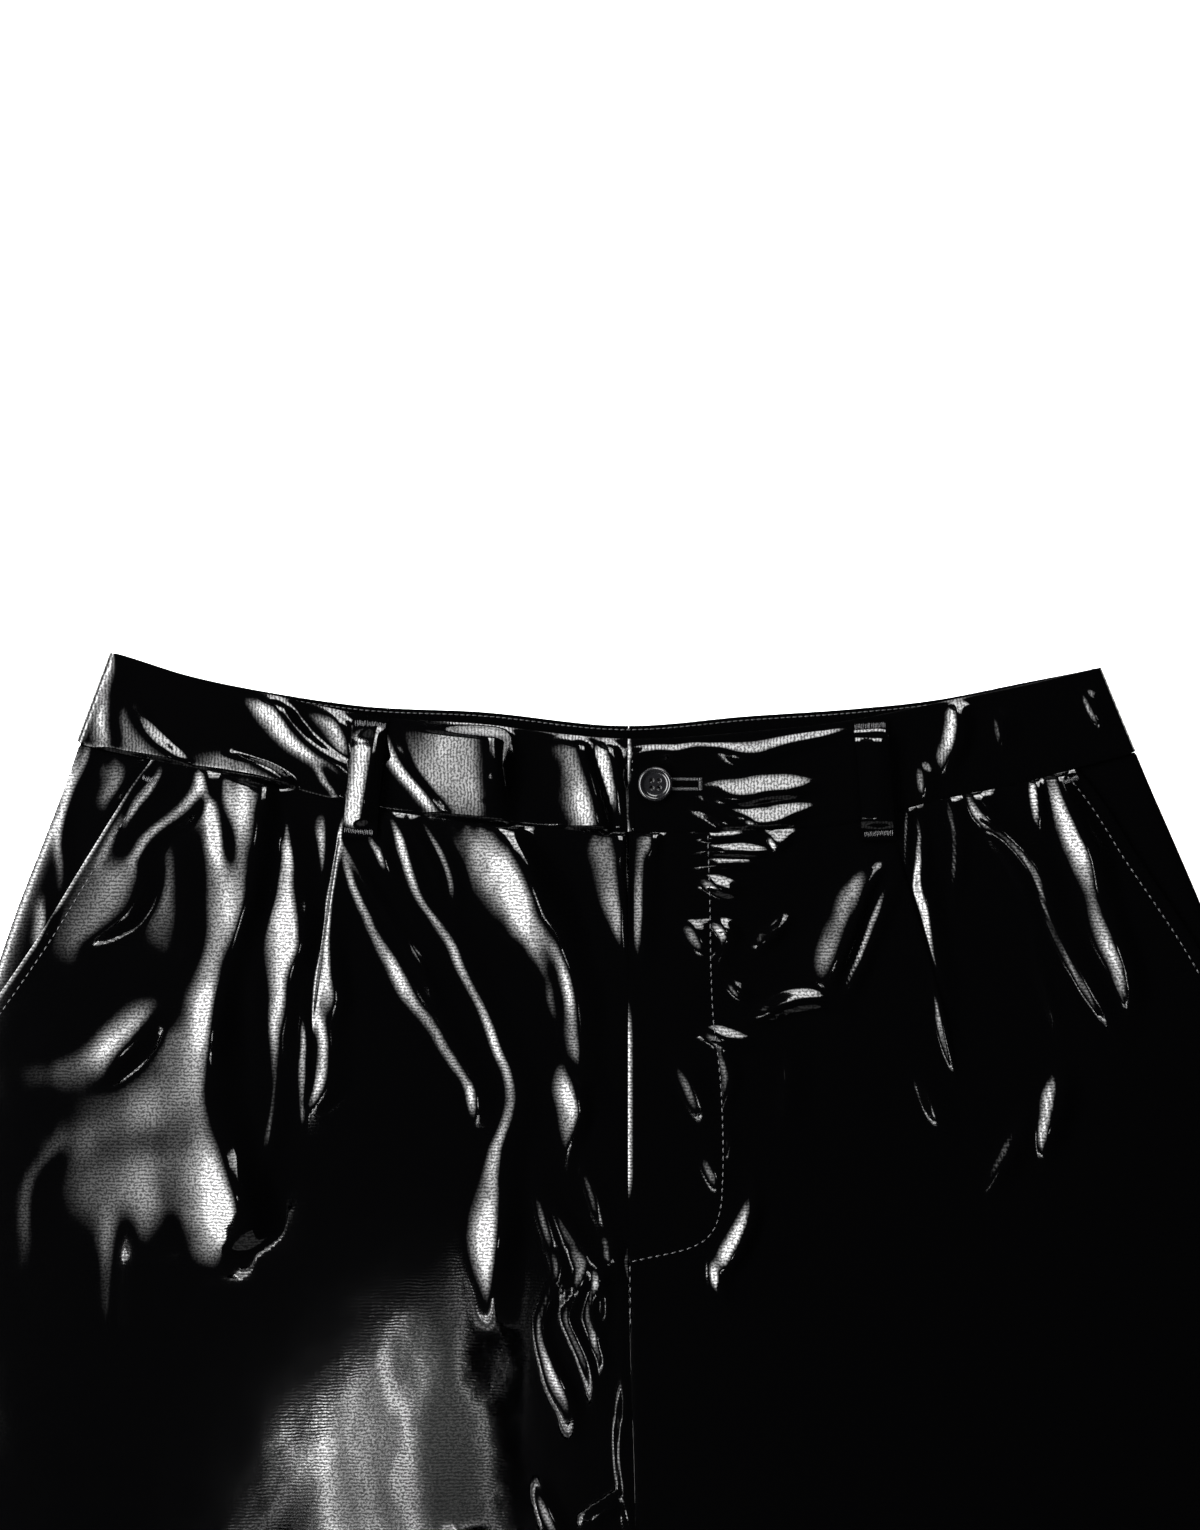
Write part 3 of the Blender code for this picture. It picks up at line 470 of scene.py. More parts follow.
legCreases = {   # below the photographed part, in the same manner
    "kneeUp": {"tilt": 0.24, "tail": 20, "rows": [
        (410, -112, -103), (500, -122, -108), (600, -118, -107), (650, -112, -106)]},
    "shinOuter": {"tilt": 0.16, "tail": 22, "rows": [
        (690, -212, -203), (790, -224, -208), (890, -216, -208)]},
    "hemRight": {"tilt": 0.22, "tail": 16, "rows": [
        (980, -122, -114), (1045, -131, -116), (1102, -128, -118)]},
    "thighFrontLeft": {"tilt": 0.34, "tail": 18, "rows": [
        (430, 118, 126), (530, 110, 123), (640, 116, 125)]},
    "shinLeftOuter": {"tilt": 0.36, "tail": 20, "rows": [
        (710, 198, 206), (830, 210, 223), (930, 205, 213)]},
    "hemLeft": {"tilt": 0.32, "tail": 14, "rows": [
        (985, 130, 137), (1050, 121, 132), (1104, 124, 131)]},
    "thighInner": {"tilt": 0.2, "tail": 16, "rows": [
        (392, -74, -66), (440, -80, -69), (505, -84, -74), (560, -83, -76)]},
    "thighDrift": {"tilt": 0.16, "tail": 20, "rows": [
        (400, -190, -178), (470, -200, -184), (540, -204, -190), (600, -202, -192)]},
    "kneeFan": {"tilt": 0.22, "tail": 12, "rows": [
        (600, -150, -143), (640, -160, -150), (690, -172, -163), (730, -182, -176)]},
    "shinMiddle": {"tilt": 0.2, "tail": 18, "rows": [
        (760, -150, -142), (850, -146, -134), (960, -150, -141)]},
    "shinInner": {"tilt": 0.19, "tail": 14, "rows": [
        (830, -92, -85), (900, -98, -88), (990, -100, -93)]},
    "hemRightOuter": {"tilt": 0.17, "tail": 14, "rows": [
        (1010, -230, -222), (1060, -238, -226), (1104, -240, -232)]},
    "thighInnerLeft": {"tilt": 0.3, "tail": 16, "rows": [
        (396, 60, 67), (450, 66, 76), (520, 72, 81), (580, 76, 83)]},
    "thighOuterLeft": {"tilt": 0.33, "tail": 20, "rows": [
        (410, 196, 206), (480, 206, 220), (560, 210, 222), (610, 212, 221)]},
    "kneeFanLeft": {"tilt": 0.31, "tail": 12, "rows": [
        (596, 150, 157), (645, 160, 170), (700, 172, 181), (735, 180, 186)]},
    "shinMiddleLeft": {"tilt": 0.32, "tail": 18, "rows": [
        (780, 140, 148), (860, 146, 158), (950, 150, 159)]},
    "hemLeftOuter": {"tilt": 0.31, "tail": 14, "rows": [
        (1000, 226, 233), (1060, 232, 242), (1104, 236, 243)]},
}
lyingLegCreases = {
    "kneeRight": {"tilt": 0.24, "tail": 26, "rows": [
        (-276, 636, 648), (-205, 652, 670), (-140, 680, 698), (-76, 714, 724)]},
    "shinRight": {"tilt": 0.20, "tail": 26, "rows": [
        (-246, 884, 894), (-170, 850, 868), (-92, 808, 820)]},
    "ankleRight": {"tilt": 0.20, "tail": 20, "rows": [
        (-270, 1000, 1010), (-190, 1012, 1026), (-110, 1036, 1044)]},
    "kneeLeft": {"tilt": 0.24, "tail": 26, "rows": [
        (86, 598, 610), (150, 616, 634), (220, 644, 660), (276, 668, 678)]},
    "shinLeft": {"tilt": 0.20, "tail": 26, "rows": [
        (90, 836, 848), (170, 860, 878), (252, 898, 908)]},
    "ankleLeft": {"tilt": 0.18, "tail": 20, "rows": [
        (100, 1040, 1048), (190, 1018, 1032), (270, 1008, 1016)]},
}
bodyCreases = [(hipCreases, lyingHipCreases), (besidePleatCreases, {}), (centreRightCreases, {}),
               (crotchCreases, lyingCrotchCreases), (thighRightCreases, lyingThighCreases),
               (flyCreases, {}), (stackCreases, lyingStackCreases),
               (leftPleatCreases, lyingLeftCreases), (legCreases, lyingLegCreases)]

creaseShape = {
    "grow": 0.62,              # share of a flank over which its slope grows
    "die": 0.20,               # share over which the slope dies at the crest
    "steepest": 1.5,           # slope between the two, in tilts
    "narrowest": 0.5,
    "lead": 15.0,              # mm over which a crease comes up at its ends, at most
    "leadShare": 0.34,         # the same as a share of its length, at most
    "margin": 2.0,
    # how it swells along its length: share of its height, mm, and turns of its own phase
    "swell": [(0.13, 6.8, 1.0), (0.12, 15.0, 2.0)],
}
# how far creases stray: mm, size of the stray, how stretched it is, seeds across and down
looseness = [(1.1, 15.0, 0.5, 21, 23), (0.28, 5.0, 0.7, 22, 24)]


def flankStep(low, high, value):
    # share climbed: the slope grows evenly to its steepest, stays, and dies quickly at the crest
    t = np.clip((value - low) / np.maximum(high - low, 1e-6), 0.0, 1.0)
    grow, die = creaseShape["grow"], creaseShape["die"]
    start, end = np.minimum(t, grow), np.maximum(t - (1.0 - die), 0.0)
    return creaseShape["steepest"] * (start * start / (2 * grow) + np.clip(t - grow, 0.0, 1.0 - grow)
                                      - end * end / (2 * die))


def creaseHeight(creases, run, along):
    # each flank climbs by its tilt times its width, dies away over its tail, and comes up and
    # fades out at its two ends; each swells at places of its own
    shape = creaseShape
    total = np.zeros(run.shape)
    for crease in creases.values():
        rows = np.array(crease["rows"], dtype=float)
        first, last = rows[0, 0], rows[-1, 0]
        lead = min(shape["lead"], shape["leadShare"] * (last - first))
        leftmost, rightmost = rows[:, 1].min(), rows[:, 2].max() + crease["tail"]
        near = (along > first - lead) & (along < last + lead)
        near &= (run > leftmost - shape["margin"]) & (run < rightmost + shape["margin"])
        at, place = along[near], run[near]
        low, high = columnAt(rows, 1, at), columnAt(rows, 2, at)
        ends = plateau(first - lead, first + lead, last - lead, last + lead, at)
        swell = 1.0
        for share, size, turns in shape["swell"]:
            swell = swell + share * np.sin(at / size + turns * rows[0, 1])
        rise = crease["tilt"] * np.maximum(high - low, shape["narrowest"]) * ends * swell
        fall = fadeOut(high, high + crease["tail"], place)
        total[near] += rise * flankStep(low, high, place) * fall
    return total


def loosened(x, down):
    # the place shifted by soft noise of two sizes, so that no crease runs evenly
    movedX, movedDown = x, down
    for reach, size, stretch, seedAcross, seedDown in looseness:
        movedX = movedX + reach * softNoise(x, stretch * down, size, seedAcross)
        movedDown = movedDown + reach * softNoise(stretch * x, down, size, seedDown)
    return movedX, movedDown


def bodyFolds(x, down):
    # the sum of all creases below the waist seam; lying ones have across and down exchanged
    x, down = loosened(x, down)
    total = np.zeros(x.shape)
    for standing, lying in bodyCreases:
        total += creaseHeight(standing, x, down)
        if lying:
            total += creaseHeight(lying, down, x)
    return total


# heights of the middle of the cloth: the back waistband over its loops, the front waistband over
# that, and the front at its side edge; and how much higher the front lies over a pocket facing
bandBend = 1.5                 # radius of the waistband's turn at the side
backBandZ = garment["loopWall"] + garment["seamGap"] + garment["bandWall"] / 2
frontBandZ = backBandZ + 2 * bandBend
frontEdgeZ = garment["clothWall"] * 1.5 + garment["seamGap"]
pocketRise = garment["clothWall"] + garment["layGap"]

lap = {"past": 5.0, "reach": 46.0, "fade": 30.0}   # how the left half comes down past the underlap

frontShape = {
    "air": (1.2, 120.0),                    # mm from the edge over which the air grows, in halves
    "legSplit": (332.0, 402.0),             # down, where the inner edges of the legs begin
    "pocketLow": (172.0, 202.0),            # down, where the facing under the front ends
    "pocketInner": (60.0, 100.0),           # mm from the side edge where it ends
    "sewn": {"right": 160.0, "left": 180.0},    # down, end of each pleat's stitching
    "sewnFade": (-26.0, 18.0),
    "step": 1.5, "stepReach": 30.0,         # height of the pleat's step and how far it is felt
    "seamDrop": 0.6, "seamFade": 34.0,      # how far the waist seam sinks, and below it
    "ripple": 0.035, "rippleSize": 17.0,
    "grain": 0.006, "grainSize": 6.0,
    "pucker": 0.11, "puckerReach": 3.0,     # gathers at the waist seam
    "plump": 0.3,
    "foldFade": 2.5, "edgeFade": 3.0,       # mm from the waist seam and the edges without folds
}


def leftRise(x, down):
    # lift of the wearer's left half over the underlap and the fly
    start = garment["centreX"] + garment["underlap"] + lap["past"]
    across = fadeOut(start, start + lap["reach"], x)
    fly = garment["flyEndDown"]
    return garment["underlapRise"] * across * fadeOut(fly, fly + lap["fade"], down)


def frontZ(side, x, down):
    # middle of the front cloth: air between the edges, the pleat's step, the creases, level
    # with the waistband at the top and rolled down a little at the seam
    shape = frontShape
    edge = sideDistance(x, down)
    inner = np.abs(innerLegX(side, down) - x)
    inner = inner + garment["length"] * fadeOut(*shape["legSplit"], down)
    reach = np.clip(np.minimum(edge, inner), 0.0, None)
    pocket = pocketRise * fadeOut(*shape["pocketLow"], down) * fadeOut(*shape["pocketInner"], edge)
    air = sum(0.5 * (1.0 - np.exp(-reach / size)) for size in shape["air"])
    body = frontEdgeZ + pocket + garment["puff"] * air
    past = (x - pleatX(side, down)) * inwards[side]
    fadeStart, fadeEnd = shape["sewn"][side] + np.array(shape["sewnFade"])
    step = shape["step"] * fadeOut(fadeStart, fadeEnd, down) * smoothStep(-1.0, 1.0, past)
    body = body + step * np.exp(-np.clip(past, 0.0, None) / shape["stepReach"])
    below = down - waistSeam(x)
    seamZ = frontBandZ - shape["seamDrop"]
    z = seamZ + (body - seamZ) * smoothStep(0.0, shape["seamFade"], below)
    ripple = shape["ripple"] * softNoise(x, down * 0.6, shape["rippleSize"], 3)
    ripple = ripple + shape["grain"] * softNoise(x + 0.3 * down, down, shape["grainSize"], 5)
    pucker = shape["pucker"] * np.sin(0.8 * x + 2.6 * np.sin(x / 9.0))
    pucker = pucker * np.exp(-np.clip(below, 0.0, None) / shape["puckerReach"])
    folds = bodyFolds(x, down) + ripple + pucker + shape["plump"]
    calm = smoothStep(0.0, shape["foldFade"], below) * (1.0 - np.exp(-reach / shape["edgeFade"]))
    z = z + folds * calm
    if side == "left":
        z = z + leftRise(x, down)
    return z


def rolledEdge(distance, depth, reach):
    # drop near a folded edge: depth at the edge, easing to nothing at reach, by the square
    return -depth * (1.0 - np.clip(distance / reach, 0.0, 1.0)) ** 2


band = {
    "frontColumns": 176, "bendColumns": 10, "backColumns": 72, "rows": 46,
    "crowding": 0.35,                       # how much closer its rows lie at both edges
    "corners": {"right": (-216.6, -231.0), "left": (214.4, 229.6)},   # x at the top and the seam
    "calm": (6.0, 2.0),                     # mm from the top edge and the seam without folds
    # depth and reach of its rolled edges
    "topRoll": (0.15, 1.2), "seamRoll": (0.4, 1.6), "centreRoll": (0.5, 1.2),
}


def bandZ(side, x, down):
    # front run of the waistband: level, creased, rounded at its top edge and sunk at its seam
    below, above = down - frontTop(x), waistSeam(x) - down
    inside = smoothStep(0.0, band["calm"][0], below) * smoothStep(0.0, band["calm"][1], above)
    loose, looseDown = loosened(x, down)
    z = frontBandZ + inside * (creaseHeight(bandCreases, loose, looseDown)
                               + creaseHeight(lyingBandCreases, looseDown, loose))
    z = z + rolledEdge(below, *band["topRoll"]) + rolledEdge(above, *band["seamRoll"])
    if side == "left":
        z = z + leftRise(x, np.zeros_like(x)) + rolledEdge(x - garment["centreX"], *band["centreRoll"])
    return z


def addNode(tree, kind, inputs, operation=None):
    # a shader node with its inputs given by name or number, as plain values or other sockets
    node = tree.nodes.new("ShaderNode" + kind)
    if operation:
        node.operation = operation
    for key, value in inputs.items():
        if isinstance(value, bpy.types.NodeSocket):
            tree.links.new(value, node.inputs[key])
        else:
            node.inputs[key].default_value = value
    return node


def calculate(tree, operation, first, second=0.0):
    return addNode(tree, "Math", {0: first, 1: second}, operation).outputs[0]


def newMaterial(name):
    material = bpy.data.materials.new(name)
    material.use_nodes = True
    return material, material.node_tree, material.node_tree.nodes["Principled BSDF"]


coatedCloth = {
    "black": (0.0003, 0.0003, 0.00035, 1.0),
    "roughness": (0.05, 0.09),   # between the smooth film and its worn grain
    "roughPatch": 11.0,          # mm
    "underGloss": 0.14,
    "coatRoughness": 0.04,
    "ribPitch": 1.45,            # mm between the knit's ribs under the film
    "ribHeight": 0.0022,         # mm
    "ribPatch": 16.0,            # size of the patches where the ribs show more
    "ribSway": (6.0, 2.2),       # size and reach of the ribs' wander
    "grain": (1.0, 0.0008),      # size and height in mm
    "crumple": (7.0, 0.005),
    "film": (0.04, 1.0),         # weight of the gloss where the ribs wear it and between them
    "filmFrom": (0.43, 0.57),
    "ribWear": 0.16,
}


def clothMaterial(name, settings):
    # film over a knit: ribs across v of the UV map (in mm / 100), grain and a soft crumple
    material, tree, shader = newMaterial(name)
    uv = addNode(tree, "UVMap", {})
    uv.uv_map = "cloth"
    place = addNode(tree, "VectorMath", {0: uv.outputs["UV"], "Scale": 100.0}, "SCALE").outputs[0]

    def noise(size, detail, stretch=(1.0, 1.0, 1.0)):
        moved = addNode(tree, "Mapping", {"Vector": place, "Scale": stretch}).outputs[0]
        return addNode(tree, "TexNoise", {"Vector": moved, "Scale": 1.0 / size, "Detail": detail,
                                          "Roughness": 0.55}).outputs["Fac"]

    def bump(height, size, below):
        return addNode(tree, "Bump", {"Height": height, "Strength": 1.0, "Distance": size * mm,
                                      **below}).outputs["Normal"]

    swaySize, swayReach = settings["ribSway"]
    sway = calculate(tree, "MULTIPLY", noise(swaySize, 2.0), swayReach)
    acrossRibs = addNode(tree, "SeparateXYZ", {0: place}).outputs["Y"]
    phase = calculate(tree, "ADD", acrossRibs, sway)
    phase = calculate(tree, "MULTIPLY", phase, 2 * math.pi / settings["ribPitch"])
    rib = calculate(tree, "SINE", phase)
    rib = calculate(tree, "MULTIPLY", rib, noise(settings["ribPatch"], 1.0))
    (crumpleSize, crumpleHeight), (grainSize, grainHeight) = settings["crumple"], settings["grain"]
    crumpled = bump(noise(crumpleSize, 1.0, (1.4, 0.8, 1.0)), crumpleHeight, {})
    ribbed = bump(rib, settings["ribHeight"], {"Normal": crumpled})
    grained = bump(noise(grainSize, 0.0, (1.2, 0.9, 1.0)), grainHeight, {"Normal": ribbed})
    tree.links.new(grained, shader.inputs["Normal"])
    tree.links.new(grained, shader.inputs["Coat Normal"])
    worn = calculate(tree, "MULTIPLY", rib, settings["ribWear"])
    worn = calculate(tree, "ADD", worn, noise(grainSize, 2.0))
    (wornLow, wornHigh), (filmLow, filmHigh) = settings["filmFrom"], settings["film"]
    film = addNode(tree, "MapRange", {"Value": worn, "From Min": wornLow, "From Max": wornHigh,
                                      "To Min": filmLow, "To Max": filmHigh})
    tree.links.new(film.outputs[0], shader.inputs["Coat Weight"])
    smooth, rough = settings["roughness"]
    roughness = addNode(tree, "MapRange", {"Value": noise(settings["roughPatch"], 4.0),
                                           "To Min": smooth, "To Max": rough})
    tree.links.new(roughness.outputs[0], shader.inputs["Roughness"])
    shader.inputs["Base Color"].default_value = settings["black"]
    shader.inputs["Specular IOR Level"].default_value = settings["underGloss"]
    shader.inputs["Coat Roughness"].default_value = settings["coatRoughness"]
    return material


plainFinishes = {   # grain as size and height in mm
    "buttonBlack": {"color": (0.0035, 0.0035, 0.004), "roughness": 0.16, "grain": (0.8, 0.004)},
    "threadBlack": {"color": (0.010, 0.010, 0.011), "roughness": 0.45, "grain": (0.25, 0.05)},
}


def plainMaterial(name, color, roughness, grain):
    # moulded or spun finish with a fine grain read from Object coordinates
    material, tree, shader = newMaterial(name)
    size, height = grain
    place = addNode(tree, "TexCoord", {}).outputs["Object"]
    noise = addNode(tree, "TexNoise", {"Vector": place, "Scale": 1.0 / (size * mm), "Detail": 3.0})
    bump = addNode(tree, "Bump", {"Height": noise.outputs["Fac"], "Distance": height * mm})
    tree.links.new(bump.outputs["Normal"], shader.inputs["Normal"])
    shader.inputs["Base Color"].default_value = (*color, 1.0)
    shader.inputs["Roughness"].default_value = roughness
    return material


bodyFinish = clothMaterial("wetLookBlack", coatedCloth)
buttonFinish = plainMaterial("buttonBlack", **plainFinishes["buttonBlack"])
threadFinish = plainMaterial("threadBlack", **plainFinishes["threadBlack"])


def shownPiece(name, points, faces, finish, nodes=(), uv=None, welded=False):
    # a mesh piece from points in mm (x, down, z) and faces, shaded smooth, riding on the root;
    # welded joins points that lie on one another and turns the faces outwards
    place = np.stack([points[:, 0], garment["length"] / 2 - points[:, 1], points[:, 2]], 1) * mm
    mesh = bpy.data.meshes.new(name)
    mesh.from_pydata(place, [], faces if isinstance(faces, list) else faces.tolist())
    if uv is not None:
        layer = mesh.uv_layers.new(name="cloth")
        corner = np.empty(len(mesh.loops), dtype=np.int32)
        mesh.loops.foreach_get("vertex_index", corner)
        layer.data.foreach_set("uv", (uv[corner] / 100.0).ravel())
    if welded:
        shell = bmesh.new()
        shell.from_mesh(mesh)
        bmesh.ops.remove_doubles(shell, verts=shell.verts, dist=2e-6)
        bmesh.ops.recalc_face_normals(shell, faces=shell.faces)
        shell.to_mesh(mesh)
        shell.free()
    mesh.materials.append(finish)
    mesh.shade_smooth()
    piece = bpy.data.objects.new(name, mesh)
    bpy.context.scene.collection.objects.link(piece)
    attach(piece, "root")
    if nodes:
        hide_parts(*nodes)
    return piece


def gridPoints(x, down, z):
    return np.stack([x.ravel(), down.ravel(), z.ravel()], 1)


def gridFaces(rows, columns, closed=False):
    # quads of a grid of rows by columns; closed joins the last column to the first
    i, j = np.meshgrid(np.arange(rows - 1), np.arange(columns if closed else columns - 1),
                       indexing="ij")
    nextJ = (j + 1) % columns
    quads = np.stack([i * columns + j, (i + 1) * columns + j, (i + 1) * columns + nextJ,
                      i * columns + nextJ], -1)
    return quads.reshape(-1, 4)


def clothPiece(name, x, down, z, wall, nodes, ribsAlong=False):
    # x, down and z are grids of the cloth's middle, rows going down and columns going to +x;
    # the wall grows to both sides of it and its cut edges stay crisp
    points = gridPoints(x, down, z)
    uv = points[:, [1, 0]] if ribsAlong else points[:, [0, 1]]
    piece = shownPiece(name, points, gridFaces(*x.shape), bodyFinish, nodes, uv)
    rows, columns = x.shape
    ends = np.empty(len(piece.data.edges) * 2, dtype=np.int32)
    piece.data.edges.foreach_get("vertices", ends)
    row, column = ends.reshape(-1, 2) // columns, ends.reshape(-1, 2) % columns
    border = (row[:, 0] == row[:, 1]) & ((row[:, 0] == 0) | (row[:, 0] == rows - 1))
    border |= (column[:, 0] == column[:, 1]) & ((column[:, 0] == 0) | (column[:, 0] == columns - 1))
    sharp = piece.data.attributes.new("sharp_edge", "BOOLEAN", "EDGE")
    sharp.data.foreach_set("value", border)
    solid = piece.modifiers.new("wall", "SOLIDIFY")
    solid.thickness = wall * mm
    solid.offset = 0.0
    return piece


def acrossShares(side, columns):
    # shares from the side edge (0) to the centre (1), in the order in which x grows
    shares = np.linspace(0.0, 1.0, columns + 1)
    return shares if side == "right" else shares[::-1]


def stationRows(breaks, counts):
    # rows evenly spaced between the breaks
    parts = [np.linspace(breaks[i], breaks[i + 1], counts[i], endpoint=False)
             for i in range(len(counts))]
    return np.concatenate(parts + [[breaks[-1]]])


def solvedRows(side, columns, panel, between, seam):
    # a grid whose straight rows bend to follow a curved seam at the top, more weakly the lower
    # they are: x and down are solved together
    nominal = stationRows(panel["rowBreaks"], panel["rowCounts"])
    across, nominal = np.meshgrid(acrossShares(side, columns), nominal)
    top = panel["rowBreaks"][0]
    ease = fadeOut(top, top + panel["seamFade"], nominal)
    down = nominal
    for _ in range(12):
        down = nominal + (seam(between(across, down)) - top) * ease
    return between(across, down), down


hem = {"down": 1080.0, "sunk": 0.4, "reach": 1.3,   # the turned-up hem is caught here
       "pitch": 4.2, "length": 2.2}

frontPanel = {
    "rowBreaks": (60.0, 64.0, 110.0, 400.0, 560.0, 1076.0, 1084.0, 1110.0),
    "rowCounts": (3, 42, 130, 26, 38, 7, 4),
    "outerColumns": 74, "stepColumns": 4, "innerColumns": 98,
    "crowding": 0.4,            # how much closer the outer columns lie at both ends
    "stepReach": 1.0,           # mm to each side of the pleat
    "seamFade": 130.0,
    "closeGap": 0.04,           # half the gap between the fronts below the fly
    "pocketRoll": (0.25, 1.2), "pocketRollEnd": (150.0, 162.0),
    # the fly edge: depth and reach of its roll, its share outside the places given in down
    "flyRoll": (0.8, 2.0), "flyRollLeast": 0.04, "flyRollAt": (140.0, 172.0, 226.0, 246.0),
    # the centre seam: half its width, and how deep it sinks on each side
    "seamWidth": 3.0, "seamDepth": {"right": 0.17, "left": 0.05},
}


def frontGrid(side):
    # columns from the pocket or side edge to the pleat, over its step, and on to the centre
    inward, panel = inwards[side], frontPanel
    outerCount, stepCount, innerCount = (panel["outerColumns"], panel["stepColumns"],
                                         panel["innerColumns"])
    total = outerCount + stepCount + innerCount

    def innerEdge(down):
        seat = seatX(down)
        if side == "right":
            fly = garment["flyEndDown"]
            sewn = smoothStep(fly - 8.0, fly, down)
            seat = seat + garment["flyLap"] * (1.0 - sewn) - panel["closeGap"] * sewn
        else:
            seat = seat + panel["closeGap"]
        leg = innerLegX(side, down) - inward * garment["seamGap"] / 2
        return np.where(down < garment["crotchDown"], seat, leg)

    def outerEdge(down):
        pocket, seam = pocketX(side, down), sideX(side, down)
        chosen = np.maximum(pocket, seam) if side == "right" else np.minimum(pocket, seam)
        return np.where(down < garment["pocketEndDown"], chosen, seam)

    def between(across, down):
        outer, inner, pleat = outerEdge(down), innerEdge(down), pleatX(side, down)
        cell = across * total
        first = np.clip(cell / outerCount, 0.0, 1.0)
        first = first - panel["crowding"] * np.sin(2 * math.pi * first) / (2 * math.pi)
        step = np.clip((cell - outerCount) / stepCount, 0.0, 1.0)
        last = np.clip((cell - outerCount - stepCount) / innerCount, 0.0, 1.0)
        near, far = pleat - inward * panel["stepReach"], pleat + inward * panel["stepReach"]
        return np.where(cell <= outerCount, outer + (near - outer) * first,
                        np.where(cell <= outerCount + stepCount, near + (far - near) * step,
                                 far + (inner - far) * last))

    return solvedRows(side, total, panel, between, lambda x: waistSeam(x) + garment["seamGap"])


def makeFront(side):
    # the front with its rolled pocket and fly edges, its sunk centre seam and its hem's groove
    panel = frontPanel
    x, down = frontGrid(side)
    z = frontZ(side, x, down)
    pocketRoll = rolledEdge(np.abs(x - pocketX(side, down)), *panel["pocketRoll"])
    z = z + pocketRoll * fadeOut(*panel["pocketRollEnd"], down)
    if side == "left":
        least = panel["flyRollLeast"]
        fly = least + (1.0 - least) * plateau(*panel["flyRollAt"], down)
        z = z + rolledEdge(x - garment["centreX"], *panel["flyRoll"]) * fly
    fly, crotch = garment["flyEndDown"], garment["crotchDown"]
    sewn = plateau(fly - 4.0, fly + 4.0, crotch - 8.0, crotch, down)
    seam = np.clip(1.0 - np.abs(x - seatX(down)) / panel["seamWidth"], 0.0, 1.0) ** 2
    z = z - sewn * seam * panel["seamDepth"][side]
    z = z - hem["sunk"] * np.exp(-((down - hem["down"]) / hem["reach"]) ** 2)
    clothPiece("front_cloth_" + side, x, down, z, garment["clothWall"], ["front_" + side])


for side in inwards:
    makeFront(side)
print("fronts made")

backPanel = {
    "rowBreaks": (60.0, 110.0, 400.0, 1110.0), "rowCounts": (16, 60, 100), "columns": 60,
    "seamFade": 130.0,
    "loopEnd": (16.0, 40.0),        # mm below the band, past the ends of the belt loops
    "loopInset": (58.0, 80.0),      # mm inside the side edge, where it is lifted over them
    "wrinkle": 0.35, "wrinkleSize": 34.0, "wrinkleInset": (8.0, 40.0),
}


def backZ(x, down):
    # the back lies flat, lifted over the ends of its belt loops, with low soft wrinkles
    below = down - (backTop(x) + garment["bandHeight"])
    edge = sideDistance(x, down)
    lift = fadeOut(*backPanel["loopEnd"], below) * smoothStep(*backPanel["loopInset"], edge)
    middle = garment["clothWall"] / 2
    wave = softNoise(x + 0.5 * down, down * 0.45, backPanel["wrinkleSize"], 11)
    wrinkle = backPanel["wrinkle"] * np.clip(wave, 0.0, 1.0)
    wrinkle = wrinkle * smoothStep(*backPanel["wrinkleInset"], edge) * (1.0 - lift)
    return middle + (backBandZ - middle) * lift + wrinkle


def makeBack(side):
    # columns evenly spaced from the side edge to the centre seam or the inner leg
    def between(across, down):
        outer = sideX(side, down)
        inner = np.where(down < garment["crotchDown"], seatX(down), innerLegX(side, down))
        return outer + (inner - inwards[side] * garment["seamGap"] / 2 - outer) * across

    def seam(x):
        return backTop(x) + garment["bandHeight"] + garment["seamGap"]

    x, down = solvedRows(side, backPanel["columns"], backPanel, between, seam)
    clothPiece("back_cloth_" + side, x, down, backZ(x, down), garment["clothWall"],
               ["back_" + side])


for side in inwards:
    makeBack(side)
print("backs made")

facing = {"columns": 45, "rows": 69, "under": 26.0, "seamGap": 1.2}   # mm under the front


def makeFacing(side):
    # the hip piece from the side edge to a strip under the front, down from the waist seam
    u, v = np.meshgrid(acrossShares(side, facing["columns"]), np.linspace(0.0, 1.0, facing["rows"] + 1))
    top, end = frontPanel["rowBreaks"][0], garment["facingEndDown"]
    down = top + (end - top) * v
    for _ in range(12):
        outer = sideX(side, down)
        x = outer + (pocketX(side, down) + inwards[side] * facing["under"] - outer) * u
        start = waistSeam(x) + facing["seamGap"]
        down = start + (end - start) * v
    z = frontZ(side, x, down) - pocketRise
    clothPiece("pocket_cloth_" + side, x, down, z, garment["clothWall"],
               ["pocket_facing_" + side])


for side in inwards:
    makeFacing(side)


